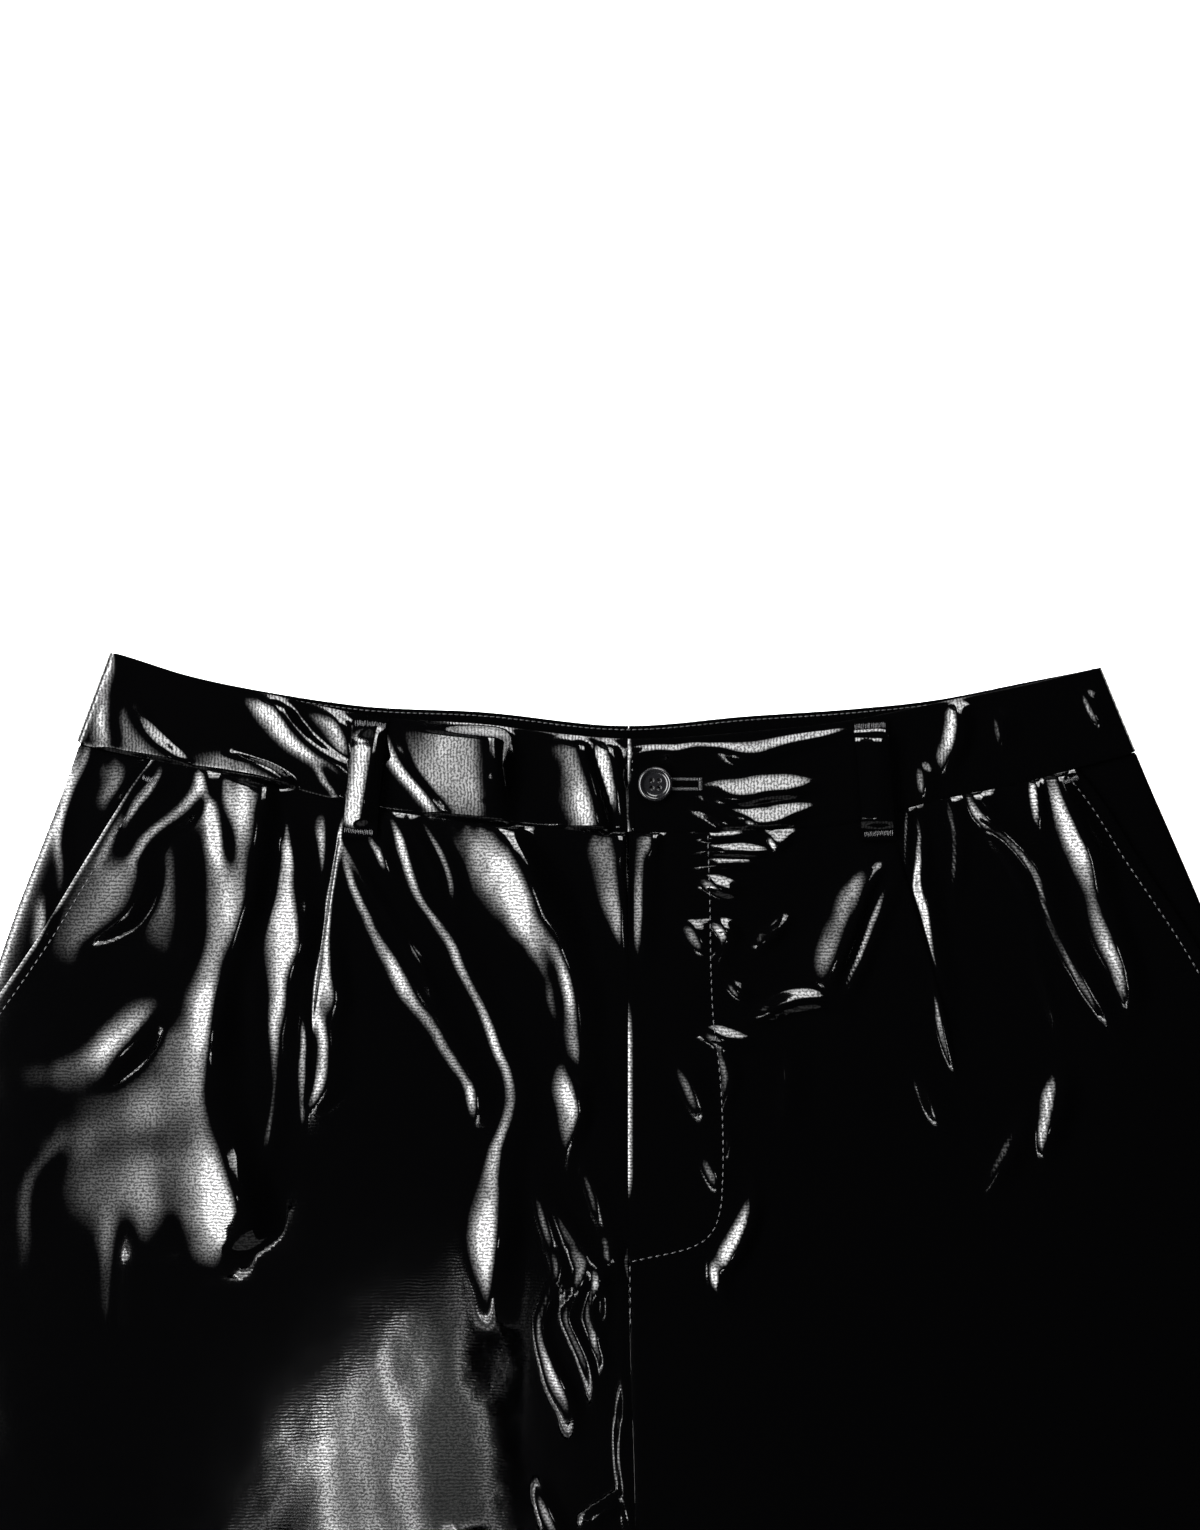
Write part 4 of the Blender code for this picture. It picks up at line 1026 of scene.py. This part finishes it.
def makeBand(side):
    # front run, half circle at the side, back run; turn goes from 0 to pi over the half circle
    inward = inwards[side]
    frontEnd = garment["centreX"] + (garment["underlap"] if side == "right" else 0.0)
    backEnd = garment["centreX"] - inward * garment["seamGap"] / 2
    topCorner, lowCorner = band["corners"][side]
    frontCount, bendCount, backCount = band["frontColumns"], band["bendColumns"], band["backColumns"]
    cell = np.arange(frontCount + bendCount + backCount + 1, dtype=float)
    if side == "right":
        cell = cell[::-1]
    rows = np.linspace(0.0, 1.0, band["rows"] + 1)
    rows = rows - band["crowding"] * np.sin(2 * math.pi * rows) / (2 * math.pi)
    cell, v = np.meshgrid(cell, rows)
    onFront = np.clip(cell / frontCount, 0.0, 1.0)
    turn = np.clip((cell - frontCount) / bendCount, 0.0, 1.0) * math.pi
    onBack = np.clip((cell - frontCount - bendCount) / backCount, 0.0, 1.0)
    start = topCorner + (lowCorner - topCorner) * v + inward * bandBend
    x = frontEnd + (start - frontEnd) * onFront
    x = x - inward * bandBend * np.sin(turn) + (backEnd - start) * onBack
    frontDown = frontTop(x) * (1 - v) + waistSeam(x) * v
    backDown = backTop(x) + garment["bandHeight"] * v
    down = frontDown + (backDown - frontDown) * smoothStep(0.0, math.pi, turn)
    bent = backBandZ + bandBend * (1.0 + np.cos(turn))
    z = np.where(turn <= 0.0, bandZ(side, x, down), bent)
    clothPiece("waistband_cloth_" + side, x, down, z, garment["bandWall"], ["waistband_" + side],
               ribsAlong=True)


for side in inwards:
    makeBand(side)
print("waistband and pocket facings made")

loopShape = {
    "width": 15.0, "waist": 1.0,            # how much narrower it is at half its length
    "arch": 3.0, "foot": 4.0,               # height over the band, and length of its flat ends
    "ramp": {"front_right": 14.0, "front_left": 5.5},
    "ridge": {"front_right": 2.6, "front_left": 1.1},   # height of the ridge along the loop
    "ridgeEnds": (2.0, 9.0), "sideRoll": (0.3, 1.2),
    "rows": 56, "columns": 18,
}
loopPlaces = {   # centre x at the top and the bottom, down at the top and the bottom
    "front_right": (-103.5, -108.5, 28.8, 80.5), "front_left": (114.2, 118.0, 29.6, 81.5),
    "back_right": (-128.0, -131.0, 21.5, 72.5), "back_center": (9.0, 9.0, 33.0, 84.0),
    "back_left": (146.0, 149.0, 21.5, 72.5),
}


def underLoop(x, down):
    # height of what a front loop lies on, without its creases
    side = "right" if np.mean(x) < garment["centreX"] else "left"
    bandFace = frontBandZ + garment["bandWall"] / 2
    body = frontZ(side, x, down) + garment["clothWall"] / 2
    return np.where(down < waistSeam(x), bandFace, np.maximum(body, bandFace))


def makeLoop(name):
    # a strip narrowed at its middle; the front ones arch over the band between their flat ends
    # and carry a ridge that drifts to the left as it goes down
    shape = loopShape
    xTop, xLow, downTop, downLow = loopPlaces[name]
    length = downLow - downTop
    u, v = np.meshgrid(np.linspace(0.0, 1.0, shape["columns"] + 1),
                       np.linspace(0.0, 1.0, shape["rows"] + 1))
    run = v * length
    width = shape["width"] - shape["waist"] * 4.0 * v * (1.0 - v)
    x = xTop + (xLow - xTop) * v + (u - 0.5) * width
    down = downTop + run
    if name in shape["ramp"]:
        foot, ramp = shape["foot"], shape["ramp"][name]
        arch = smoothStep(foot, foot + ramp, run) * smoothStep(foot, foot + ramp, length - run)
        z = underLoop(x, down) + garment["layGap"] + garment["loopWall"] / 2 + shape["arch"] * arch
        ridge = plateau(-1.0, 12.0 - 4.0 * v, 10.5 - 4.5 * v, 15.5, u * width)
        ends = smoothStep(*shape["ridgeEnds"], run) * smoothStep(*shape["ridgeEnds"], length - run)
        z = z + shape["ridge"][name] * ridge * ends
        z = z + rolledEdge((1.0 - u) * width, *shape["sideRoll"])
    else:
        z = np.full(x.shape, garment["loopWall"] / 2)
    clothPiece("loop_cloth_" + name, x, down, z, garment["loopWall"], ["belt_loop_" + name],
               ribsAlong=True)


for name in loopPlaces:
    makeLoop(name)
print("belt loops made")


def ringAngles(count):
    return np.linspace(0.0, 2 * math.pi, count, endpoint=False)


button = {
    "x": 20.6, "down": 57.3, "radius": 7.5, "thickness": 2.8,
    "holeRadius": 0.85, "holeEdge": 0.16, "holeDepth": 1.35, "holePitch": 3.2,
    "base": frontBandZ + garment["underlapRise"] + garment["bandWall"] / 2 + garment["layGap"],
    # radius share and height share of the turned shape, from the middle of its back over the rim
    "profile": [(0.0, 0.0), (0.45, 0.0), (0.70, 0.0), (0.86, 0.08), (0.96, 0.26), (1.0, 0.52),
                (0.985, 0.74), (0.94, 0.92), (0.88, 1.0), (0.82, 0.97), (0.765, 0.82),
                (0.72, 0.66), (0.67, 0.585), (0.60, 0.56)],
    "face": (0.585, 0.56), "faceRings": 46, "sides": 96,
}


def makeButton():
    # the profile turned round the middle; the four holes are deep wells in its face
    outer = np.array(button["profile"])
    faceRadius, faceHeight = button["face"]
    rings = button["faceRings"]
    face = np.stack([np.linspace(faceRadius, 0.0, rings), np.full(rings, faceHeight)], 1)
    profile = np.concatenate([outer, face])
    angle = ringAngles(button["sides"])
    radius = button["radius"] * profile[:, :1]
    x = button["x"] + radius * np.cos(angle)
    down = button["down"] - radius * np.sin(angle)
    z = np.repeat(button["base"] + button["thickness"] * profile[:, 1:], button["sides"], 1)
    half = button["holePitch"] / 2
    low, high = button["holeRadius"] - button["holeEdge"], button["holeRadius"] + button["holeEdge"]
    for holeX in (-half, half):
        for holeDown in (-half, half):
            away = np.hypot(x - button["x"] - holeX, down - button["down"] - holeDown)
            z[len(outer):] -= button["holeDepth"] * fadeOut(low, high, away)[len(outer):]
    shownPiece("button_shown", gridPoints(x, down, z), gridFaces(*x.shape, closed=True),
               buttonFinish, ["button"], welded=True)


makeButton()

shank = {"radius": 0.95, "waist": 0.12, "winding": 0.04, "turns": 26.0, "gap": 0.3}


def makeShank():
    # the wound thread under the button, a little waisted
    v = np.linspace(0.0, 1.0, 12)[:, None]
    angle = ringAngles(20)
    low = frontBandZ + garment["bandWall"] / 2 + shank["gap"]
    high = button["base"] - shank["gap"]
    radius = shank["radius"] - shank["waist"] * np.sin(math.pi * v)
    radius = radius + shank["winding"] * np.sin(shank["turns"] * v)
    radius = radius * np.where((v <= 0.0) | (v >= 1.0), 0.0, 1.0)
    x = button["x"] + radius * np.cos(angle)
    down = button["down"] - radius * np.sin(angle)
    z = np.broadcast_to(low + (high - low) * v, x.shape)
    shownPiece("button_shank", gridPoints(x, down, z), gridFaces(*x.shape, closed=True), threadFinish,
               ["button_thread"], welded=True)


makeShank()
print("button made")

stitchShape = {"rings": (0.0, 0.12, 0.35, 0.65, 0.88, 1.0), "swell": (0.3, 0.85, 1.0, 1.0, 0.85, 0.3),
               "sides": 6}


def stitchPiece(name, starts, ends, radius, heightAt, lift=0.1):
    # one spindle per stitch: a ring of points carried from its start to its end over the cloth,
    # swelling and rising in the middle; starts and ends are (n, 2) places in mm
    rings, swell = np.array(stitchShape["rings"]), np.array(stitchShape["swell"])
    sides = stitchShape["sides"]
    along = ends - starts
    length = np.hypot(along[:, 0], along[:, 1])[:, None]
    spine = starts[:, None, :] + along[:, None, :] * rings[None, :, None]
    level = heightAt(spine[..., 0], spine[..., 1]) + lift + radius * (np.sin(math.pi * rings) - 0.55)
    angle = ringAngles(sides)
    around = (radius * swell)[None, :, None] * np.cos(angle)
    upward = (radius * swell)[None, :, None] * np.sin(angle)
    sideways = np.stack([-along[:, 1], along[:, 0]], 1) / length
    x = spine[..., 0][..., None] + around * sideways[:, 0][:, None, None]
    down = spine[..., 1][..., None] + around * sideways[:, 1][:, None, None]
    z = level[..., None] + upward
    points = np.stack([x, down, z], -1).reshape(-1, 3)
    block = len(rings) * sides
    quads = gridFaces(len(rings), sides, closed=True)
    first = np.arange(len(starts))[:, None, None] * block
    faces = (quads[None] + first).reshape(-1, 4).tolist()
    caps = np.stack([np.arange(sides), np.arange(sides)[::-1] + block - sides])
    faces += (caps[None] + first).reshape(-1, sides).tolist()
    return shownPiece(name, points, faces, threadFinish, welded=True)


def pathRun(path):
    # length along the path at each of its points
    return np.concatenate([[0.0], np.cumsum(np.hypot(*np.diff(path, axis=0).T))])


def rowOfStitches(path, pitch, length):
    # starts and ends of stitches spaced by the pitch along a path of (x, down) points
    path = np.array(path, dtype=float)
    run = pathRun(path)
    middle = np.arange(pitch / 2, run[-1], pitch)

    def at(place):
        return np.stack([np.interp(place, run, path[:, 0]), np.interp(place, run, path[:, 1])], 1)

    return at(middle - length / 2), at(middle + length / 2)


def smoothPath(rows, count):
    # a smooth path through a few given (x, down) points
    rows = np.array(rows, dtype=float)
    run = pathRun(rows)
    at = np.linspace(0.0, run[-1], count)
    return np.stack([curveThrough(run, rows[:, 0], at), curveThrough(run, rows[:, 1], at)], 1)


def barTack(x, down, lean, width, tall, count):
    # close upright stitches side by side, width wide and tall high, leaning by lean (radians)
    across = np.linspace(-width / 2, width / 2, count)
    middle = np.stack([x + across * math.cos(lean), down + across * math.sin(lean)], 1)
    half = np.array([-math.sin(lean), math.cos(lean)]) * tall / 2
    wobble = np.random.default_rng(int(abs(x) * 7)).uniform(-0.25, 0.25, (count, 2))
    return middle - half + wobble, middle + half + wobble[::-1]


def joined(*rows):
    # several rows of stitches as one: all their starts and all their ends
    return np.concatenate([r[0] for r in rows]), np.concatenate([r[1] for r in rows])


def bodyTop(x, down):
    # upper face of the fronts; between the legs, x = 3 parts the right leg from the left one
    side = np.where(x < np.where(down < garment["crotchDown"], seatX(down), 3.0), 1.0, 0.0)
    z = side * frontZ("right", x, down) + (1.0 - side) * frontZ("left", x, down)
    return z + garment["clothWall"] / 2


def bandTop(x, down):
    side = np.where(x < garment["centreX"], 1.0, 0.0)
    z = side * bandZ("right", x, down) + (1.0 - side) * bandZ("left", x, down)
    return z + garment["bandWall"] / 2


stitching = {
    "pitch": 3.5, "length": 2.3, "radius": 0.32,
    "pocketDown": (52.0, 158.0), "pocketInset": 5.2,
    "pocketTack": {"lean": 0.35, "width": 6.0, "tall": 2.2, "count": 11},
    "flyCurve": [(43.5, 79), (44.5, 110), (45, 140), (46, 160), (48.5, 180), (50, 205), (50, 230),
                 (49, 243), (46.5, 251), (42.5, 256), (36, 259.5), (28, 261.8), (19, 263.6),
                 (10.5, 265.5)],
    "belowFly": [(9.6, 266.5), (9.9, 296.0)], "belowPitch": 4.6, "belowLength": 2.6,
    "hemLift": -0.25,
    "backX": (-208.0, 205.0), "backInset": 1.7, "backPitch": 2.6, "backLength": 2.0,
    "fineRadius": 0.24,
}


def makeStitches():
    size = stitching
    down = np.linspace(*size["pocketDown"], 60)
    tack = size["pocketTack"]
    for side, inward in inwards.items():
        edge = np.stack([pocketX(side, down) + inward * size["pocketInset"], down + 1.5], 1)
        edge = edge[edge[:, 1] > waistSeam(edge[:, 0]) + 2.0]
        tackX, tackDown = edge[0] + np.array([-inward * 2.2, 2.0])
        rows = joined(rowOfStitches(edge, size["pitch"], size["length"]),
                      barTack(tackX, tackDown, tack["lean"] * inward, tack["width"], tack["tall"],
                              tack["count"]))
        stitchPiece("stitches_pocket_" + side, *rows, size["radius"], bodyTop)
    fly = rowOfStitches(smoothPath(size["flyCurve"], 160), size["pitch"], size["length"])
    below = rowOfStitches(size["belowFly"], size["belowPitch"], size["belowLength"])
    stitchPiece("stitches_fly", *joined(fly, below), size["radius"], bodyTop)
    for side in inwards:
        across = np.linspace(sideX(side, hem["down"]), innerLegX(side, hem["down"]), 90)[2:-2]
        path = np.stack([across, np.full(across.shape, hem["down"])], 1)
        rows = rowOfStitches(path, hem["pitch"], hem["length"])
        stitchPiece("stitches_hem_" + side, *rows, size["radius"], bodyTop, size["hemLift"])
    x = np.linspace(*size["backX"], 160)
    back = rowOfStitches(np.stack([x, backTop(x) + size["backInset"]], 1), size["backPitch"],
                         size["backLength"])
    stitchPiece("stitches_waistband_back", *back, size["fineRadius"],
                lambda x, down: np.full(x.shape, backBandZ + garment["bandWall"] / 2))


makeStitches()

buttonhole = {"x": (26.5, 39.5), "sides": (55.2, 59.4), "end": (39.4, 41.2), "endDown": (54.8, 60.0),
              "pitch": 0.62, "half": 0.75, "slant": 0.15, "radius": 0.27}


def makeButtonholeStitches():
    # close short stitches square to the slit on both sides, and across its outer end
    size = buttonhole
    x = np.arange(*size["x"], size["pitch"])
    rows = []
    for middle in size["sides"]:
        rows.append((np.stack([x, np.full(x.shape, middle - size["half"])], 1),
                     np.stack([x + size["slant"], np.full(x.shape, middle + size["half"])], 1)))
    down = np.arange(*size["endDown"], size["pitch"])
    near, far = size["end"]
    rows.append((np.stack([np.full(down.shape, near), down], 1),
                 np.stack([np.full(down.shape, far), down], 1)))
    stitchPiece("stitches_buttonhole", *joined(*rows), size["radius"], bandTop)


makeButtonholeStitches()

loopTacks = {   # mm from the loop's end, width, height and count of stitches; lean in radians
    "top": (2.4, 13.0, 2.6, 19), "low": (-2.6, 12.0, 2.4, 17), "lift": 0.05,
    "lean": {"front_right": 0.1, "front_left": -0.06},
}


def loopTop(x, down):
    # upper face of a front loop at its flat ends
    return underLoop(x, down) + garment["layGap"] + garment["loopWall"]


def makeLoopTacks():
    # each front loop is tacked through its two folded ends
    for name, lean in loopTacks["lean"].items():
        xTop, xLow, downTop, downLow = loopPlaces[name]
        (topInset, *topSize), (lowInset, *lowSize) = loopTacks["top"], loopTacks["low"]
        rows = joined(barTack(xTop, downTop + topInset, lean, *topSize),
                      barTack(xLow, downLow + lowInset, lean, *lowSize))
        stitchPiece("stitches_loop_" + name, *rows, stitching["fineRadius"], loopTop, loopTacks["lift"])


makeLoopTacks()
print("stitches made")

studio = {
    "floorSize": 6.0, "floorZ": -0.1, "floorGlow": 0.85,   # m, mm, radiance
    "worldGlow": 0.01,
    "cameraX": -0.0035, "cameraY": 0.506, "cameraHeight": 2.0, "frameHeight": 0.669375,
    # a softbox: x and z of its upper and its lower edge, y of its middle, half its length,
    # and its radiance at shares of the way down from the upper edge
    "left": {"high": (-0.48, 1.47), "low": (-1.60, 0.50), "middle": 0.35, "half": 1.10,
             "glow": [(0.0, 0.0), (0.07, 1.0), (0.15, 3.2), (0.24, 7.0), (0.34, 13.0), (0.50, 28.0),
                      (0.74, 14.0), (1.0, 3.0)]},
    "top": {"high": (1.08, 1.42), "low": (2.0, 0.70), "middle": 0.34, "half": 0.41,
            "glow": [(0.0, 1.5), (0.15, 8.0), (0.5, 16.0), (1.0, 10.0)]},
    # low strips on the far sides, for the views from the sides: x, y, z, turn, width, length, glow
    "fill": {"fillHem": (0.0, -2.6, 1.1, (1.18, 0.0, 0.0), 3.0, 1.2, 0.35),
             "fillWaist": (-1.6, 2.6, 1.0, (-1.18, 0.0, 0.0), 2.0, 1.2, 0.35)},
    # a flag-cut card overhead: how its stripes lean about a level, and how sharply it is cut;
    # then along its width the stripes' radiance, how far up it is open and the glow of that edge,
    # and along its length how bright it is
    "card": {"x": -0.190, "y": 0.036, "z": 1.40, "width": 0.26, "length": 0.342, "lean": 0.16,
             "level": 0.3, "sharp": 45.0, "edgeFade": 14.0,
             "glow": [(0.0, 0.1), (0.34, 0.12), (0.37, 0.6), (0.385, 22.0), (0.42, 18.0),
                      (0.46, 4.5), (0.50, 2.8), (0.518, 10.0), (0.555, 8.0), (0.585, 2.0),
                      (0.625, 2.4), (0.642, 15.0), (0.685, 9.0), (0.715, 1.6), (0.76, 0.8),
                      (0.80, 0.7), (0.83, 1.1), (0.86, 2.4), (0.88, 5.0), (0.889, 6.0), (0.897, 0.0),
                      (1.0, 0.0)],
             "openTo": [(0.0, 0.05), (0.11, 0.14), (0.234, 0.267), (0.356, 0.407), (0.385, 0.425),
                        (0.49, 0.51), (0.59, 0.60), (0.67, 0.665), (0.74, 0.72), (0.80, 0.75),
                        (0.85, 0.77), (0.90, 0.78), (1.0, 0.78)],
             "edge": [(0.0, 1.5), (0.2, 7.0), (0.36, 16.0), (0.42, 10.0), (0.55, 3.0), (0.7, 0.0),
                      (1.0, 0.0)],
             "height": [(0.0, 1.5), (0.14, 1.5), (0.22, 0.75), (0.34, 0.9), (0.44, 1.3), (0.6, 1.1),
                        (0.72, 0.7), (1.0, 0.5)]},
}


def shareCurve(tree, share, stations):
    # a curve through (share, value) stations, scaled back from its highest value
    node = addNode(tree, "FloatCurve", {"Value": share})
    curve = node.mapping.curves[0]
    highest = max(value for _, value in stations)
    while len(curve.points) < len(stations):
        curve.points.new(0.5, 0.5)
    for point, (at, value) in zip(curve.points, stations):
        point.location = (at, value / highest)
    node.mapping.update()
    return calculate(tree, "MULTIPLY", node.outputs[0], highest)


def lampShares(lamp):
    # the place on the lamp's rectangle, 0 to 1 along its own x and y
    lamp.use_nodes = True
    place = addNode(lamp.node_tree, "NewGeometry", {})
    split = addNode(lamp.node_tree, "SeparateXYZ", {0: place.outputs["Parametric"]})
    return lamp.node_tree, split.outputs["X"], split.outputs["Y"]


def shine(lamp, strength):
    # the lamp's glow over its rectangle is the given radiance in every direction
    lamp.node_tree.links.new(strength, lamp.node_tree.nodes["Emission"].inputs["Strength"])
    lamp.energy = math.pi * lamp.size * lamp.size_y


def placedLamp(name, location, turn, width, length):
    lamp = bpy.data.lights.new(name, "AREA")
    lamp.shape = "RECTANGLE"
    lamp.size, lamp.size_y = width, length
    light = bpy.data.objects.new(name, lamp)
    bpy.context.scene.collection.objects.link(light)
    light.location, light.rotation_euler = location, turn
    return lamp


def softbox(name, high, low, middle, half, glow, towards="left"):
    # a leaning lamp whose long way runs along the garment (left) or across it (top)
    wide = math.hypot(high[0] - low[0], high[1] - low[1])
    away, height = (high[0] + low[0]) / 2, (high[1] + low[1]) / 2
    lean = math.atan2(abs(low[0] - high[0]), high[1] - low[1])
    if towards == "left":
        lamp = placedLamp(name, (away, middle, height), (0.0, lean - math.pi / 2, 0.0),
                          wide, 2 * half)
        tree, acrossX, _ = lampShares(lamp)
        share = calculate(tree, "SUBTRACT", 1.0, acrossX)
    else:
        lamp = placedLamp(name, (middle, away, height), (lean - math.pi / 2, 0.0, 0.0),
                          2 * half, wide)
        tree, _, share = lampShares(lamp)
    shine(lamp, shareCurve(tree, share, glow))


def card(name, x, y, z, width, length, lean, level, glow, openTo, sharp, edge, edgeFade, height):
    # a level lamp overhead whose image lies on the flat thigh: leaning stripes that change with
    # height, open up to a curve and glowing more just below it
    lamp = placedLamp(name, (x, y, z), (0.0, 0.0, 0.0), width, length)
    tree, acrossX, acrossY = lampShares(lamp)
    shift = calculate(tree, "MULTIPLY", acrossY, lean)
    acrossX = calculate(tree, "ADD", calculate(tree, "ADD", acrossX, shift), -level * lean)
    inside = calculate(tree, "SUBTRACT", shareCurve(tree, acrossX, openTo), acrossY)
    rim = calculate(tree, "ADD", calculate(tree, "MULTIPLY", inside, -edgeFade), 1.0)
    rim = calculate(tree, "MAXIMUM", rim, 0.0)
    rim = calculate(tree, "MULTIPLY", shareCurve(tree, acrossX, edge), rim)
    inside = calculate(tree, "MINIMUM", calculate(tree, "MULTIPLY", inside, sharp), 1.0)
    inside = calculate(tree, "MAXIMUM", inside, 0.0)
    strength = calculate(tree, "ADD", shareCurve(tree, acrossX, glow), rim)
    strength = calculate(tree, "MULTIPLY", strength, inside)
    strength = calculate(tree, "MULTIPLY", strength, shareCurve(tree, acrossY, height))
    shine(lamp, strength)


softbox("softboxLeft", **studio["left"])
softbox("softboxTop", **studio["top"], towards="top")
card("cardThigh", **studio["card"])
for name, (x, y, z, turn, width, length, glow) in studio["fill"].items():
    placedLamp(name, (x, y, z), turn, width, length).energy = glow * math.pi * width * length


def makeFloor(half, z):
    # white paper under the garment, glowing a little, just below the cloth
    mesh = bpy.data.meshes.new("floor")
    mesh.from_pydata([(-half, -half, z), (half, -half, z), (half, half, z), (-half, half, z)], [],
                     [(0, 1, 2, 3)])
    floor = bpy.data.objects.new("floor", mesh)
    bpy.context.scene.collection.objects.link(floor)
    finish, _, shader = newMaterial("paperWhite")
    shader.inputs["Base Color"].default_value = (0.86, 0.86, 0.86, 1.0)
    shader.inputs["Roughness"].default_value = 0.9
    shader.inputs["Emission Color"].default_value = (1.0, 1.0, 1.0, 1.0)
    shader.inputs["Emission Strength"].default_value = studio["floorGlow"]
    mesh.materials.append(finish)


makeFloor(studio["floorSize"] / 2, studio["floorZ"] * mm)


def makeWorld():
    # white behind the garment as the camera sees it, and nearly dark to the cloth
    world = bpy.data.worlds.new("studio")
    world.use_nodes = True
    ray = addNode(world.node_tree, "LightPath", {})
    seen = addNode(world.node_tree, "MapRange", {"Value": ray.outputs["Is Camera Ray"],
                                                 "To Min": studio["worldGlow"], "To Max": 1.0})
    background = world.node_tree.nodes["Background"]
    background.inputs["Color"].default_value = (1.0, 1.0, 1.0, 1.0)
    world.node_tree.links.new(seen.outputs[0], background.inputs["Strength"])
    bpy.context.scene.world = world


makeWorld()

cameraData = bpy.data.cameras.new("camera")
cameraData.sensor_width = 36.0
cameraData.lens = 36.0 * studio["cameraHeight"] / studio["frameHeight"]
camera = bpy.data.objects.new("camera", cameraData)
camera.location = (studio["cameraX"], studio["cameraY"], studio["cameraHeight"])
bpy.context.scene.collection.objects.link(camera)
bpy.context.scene.camera = camera
bpy.context.scene.view_settings.view_transform = "Standard"
print("studio made")
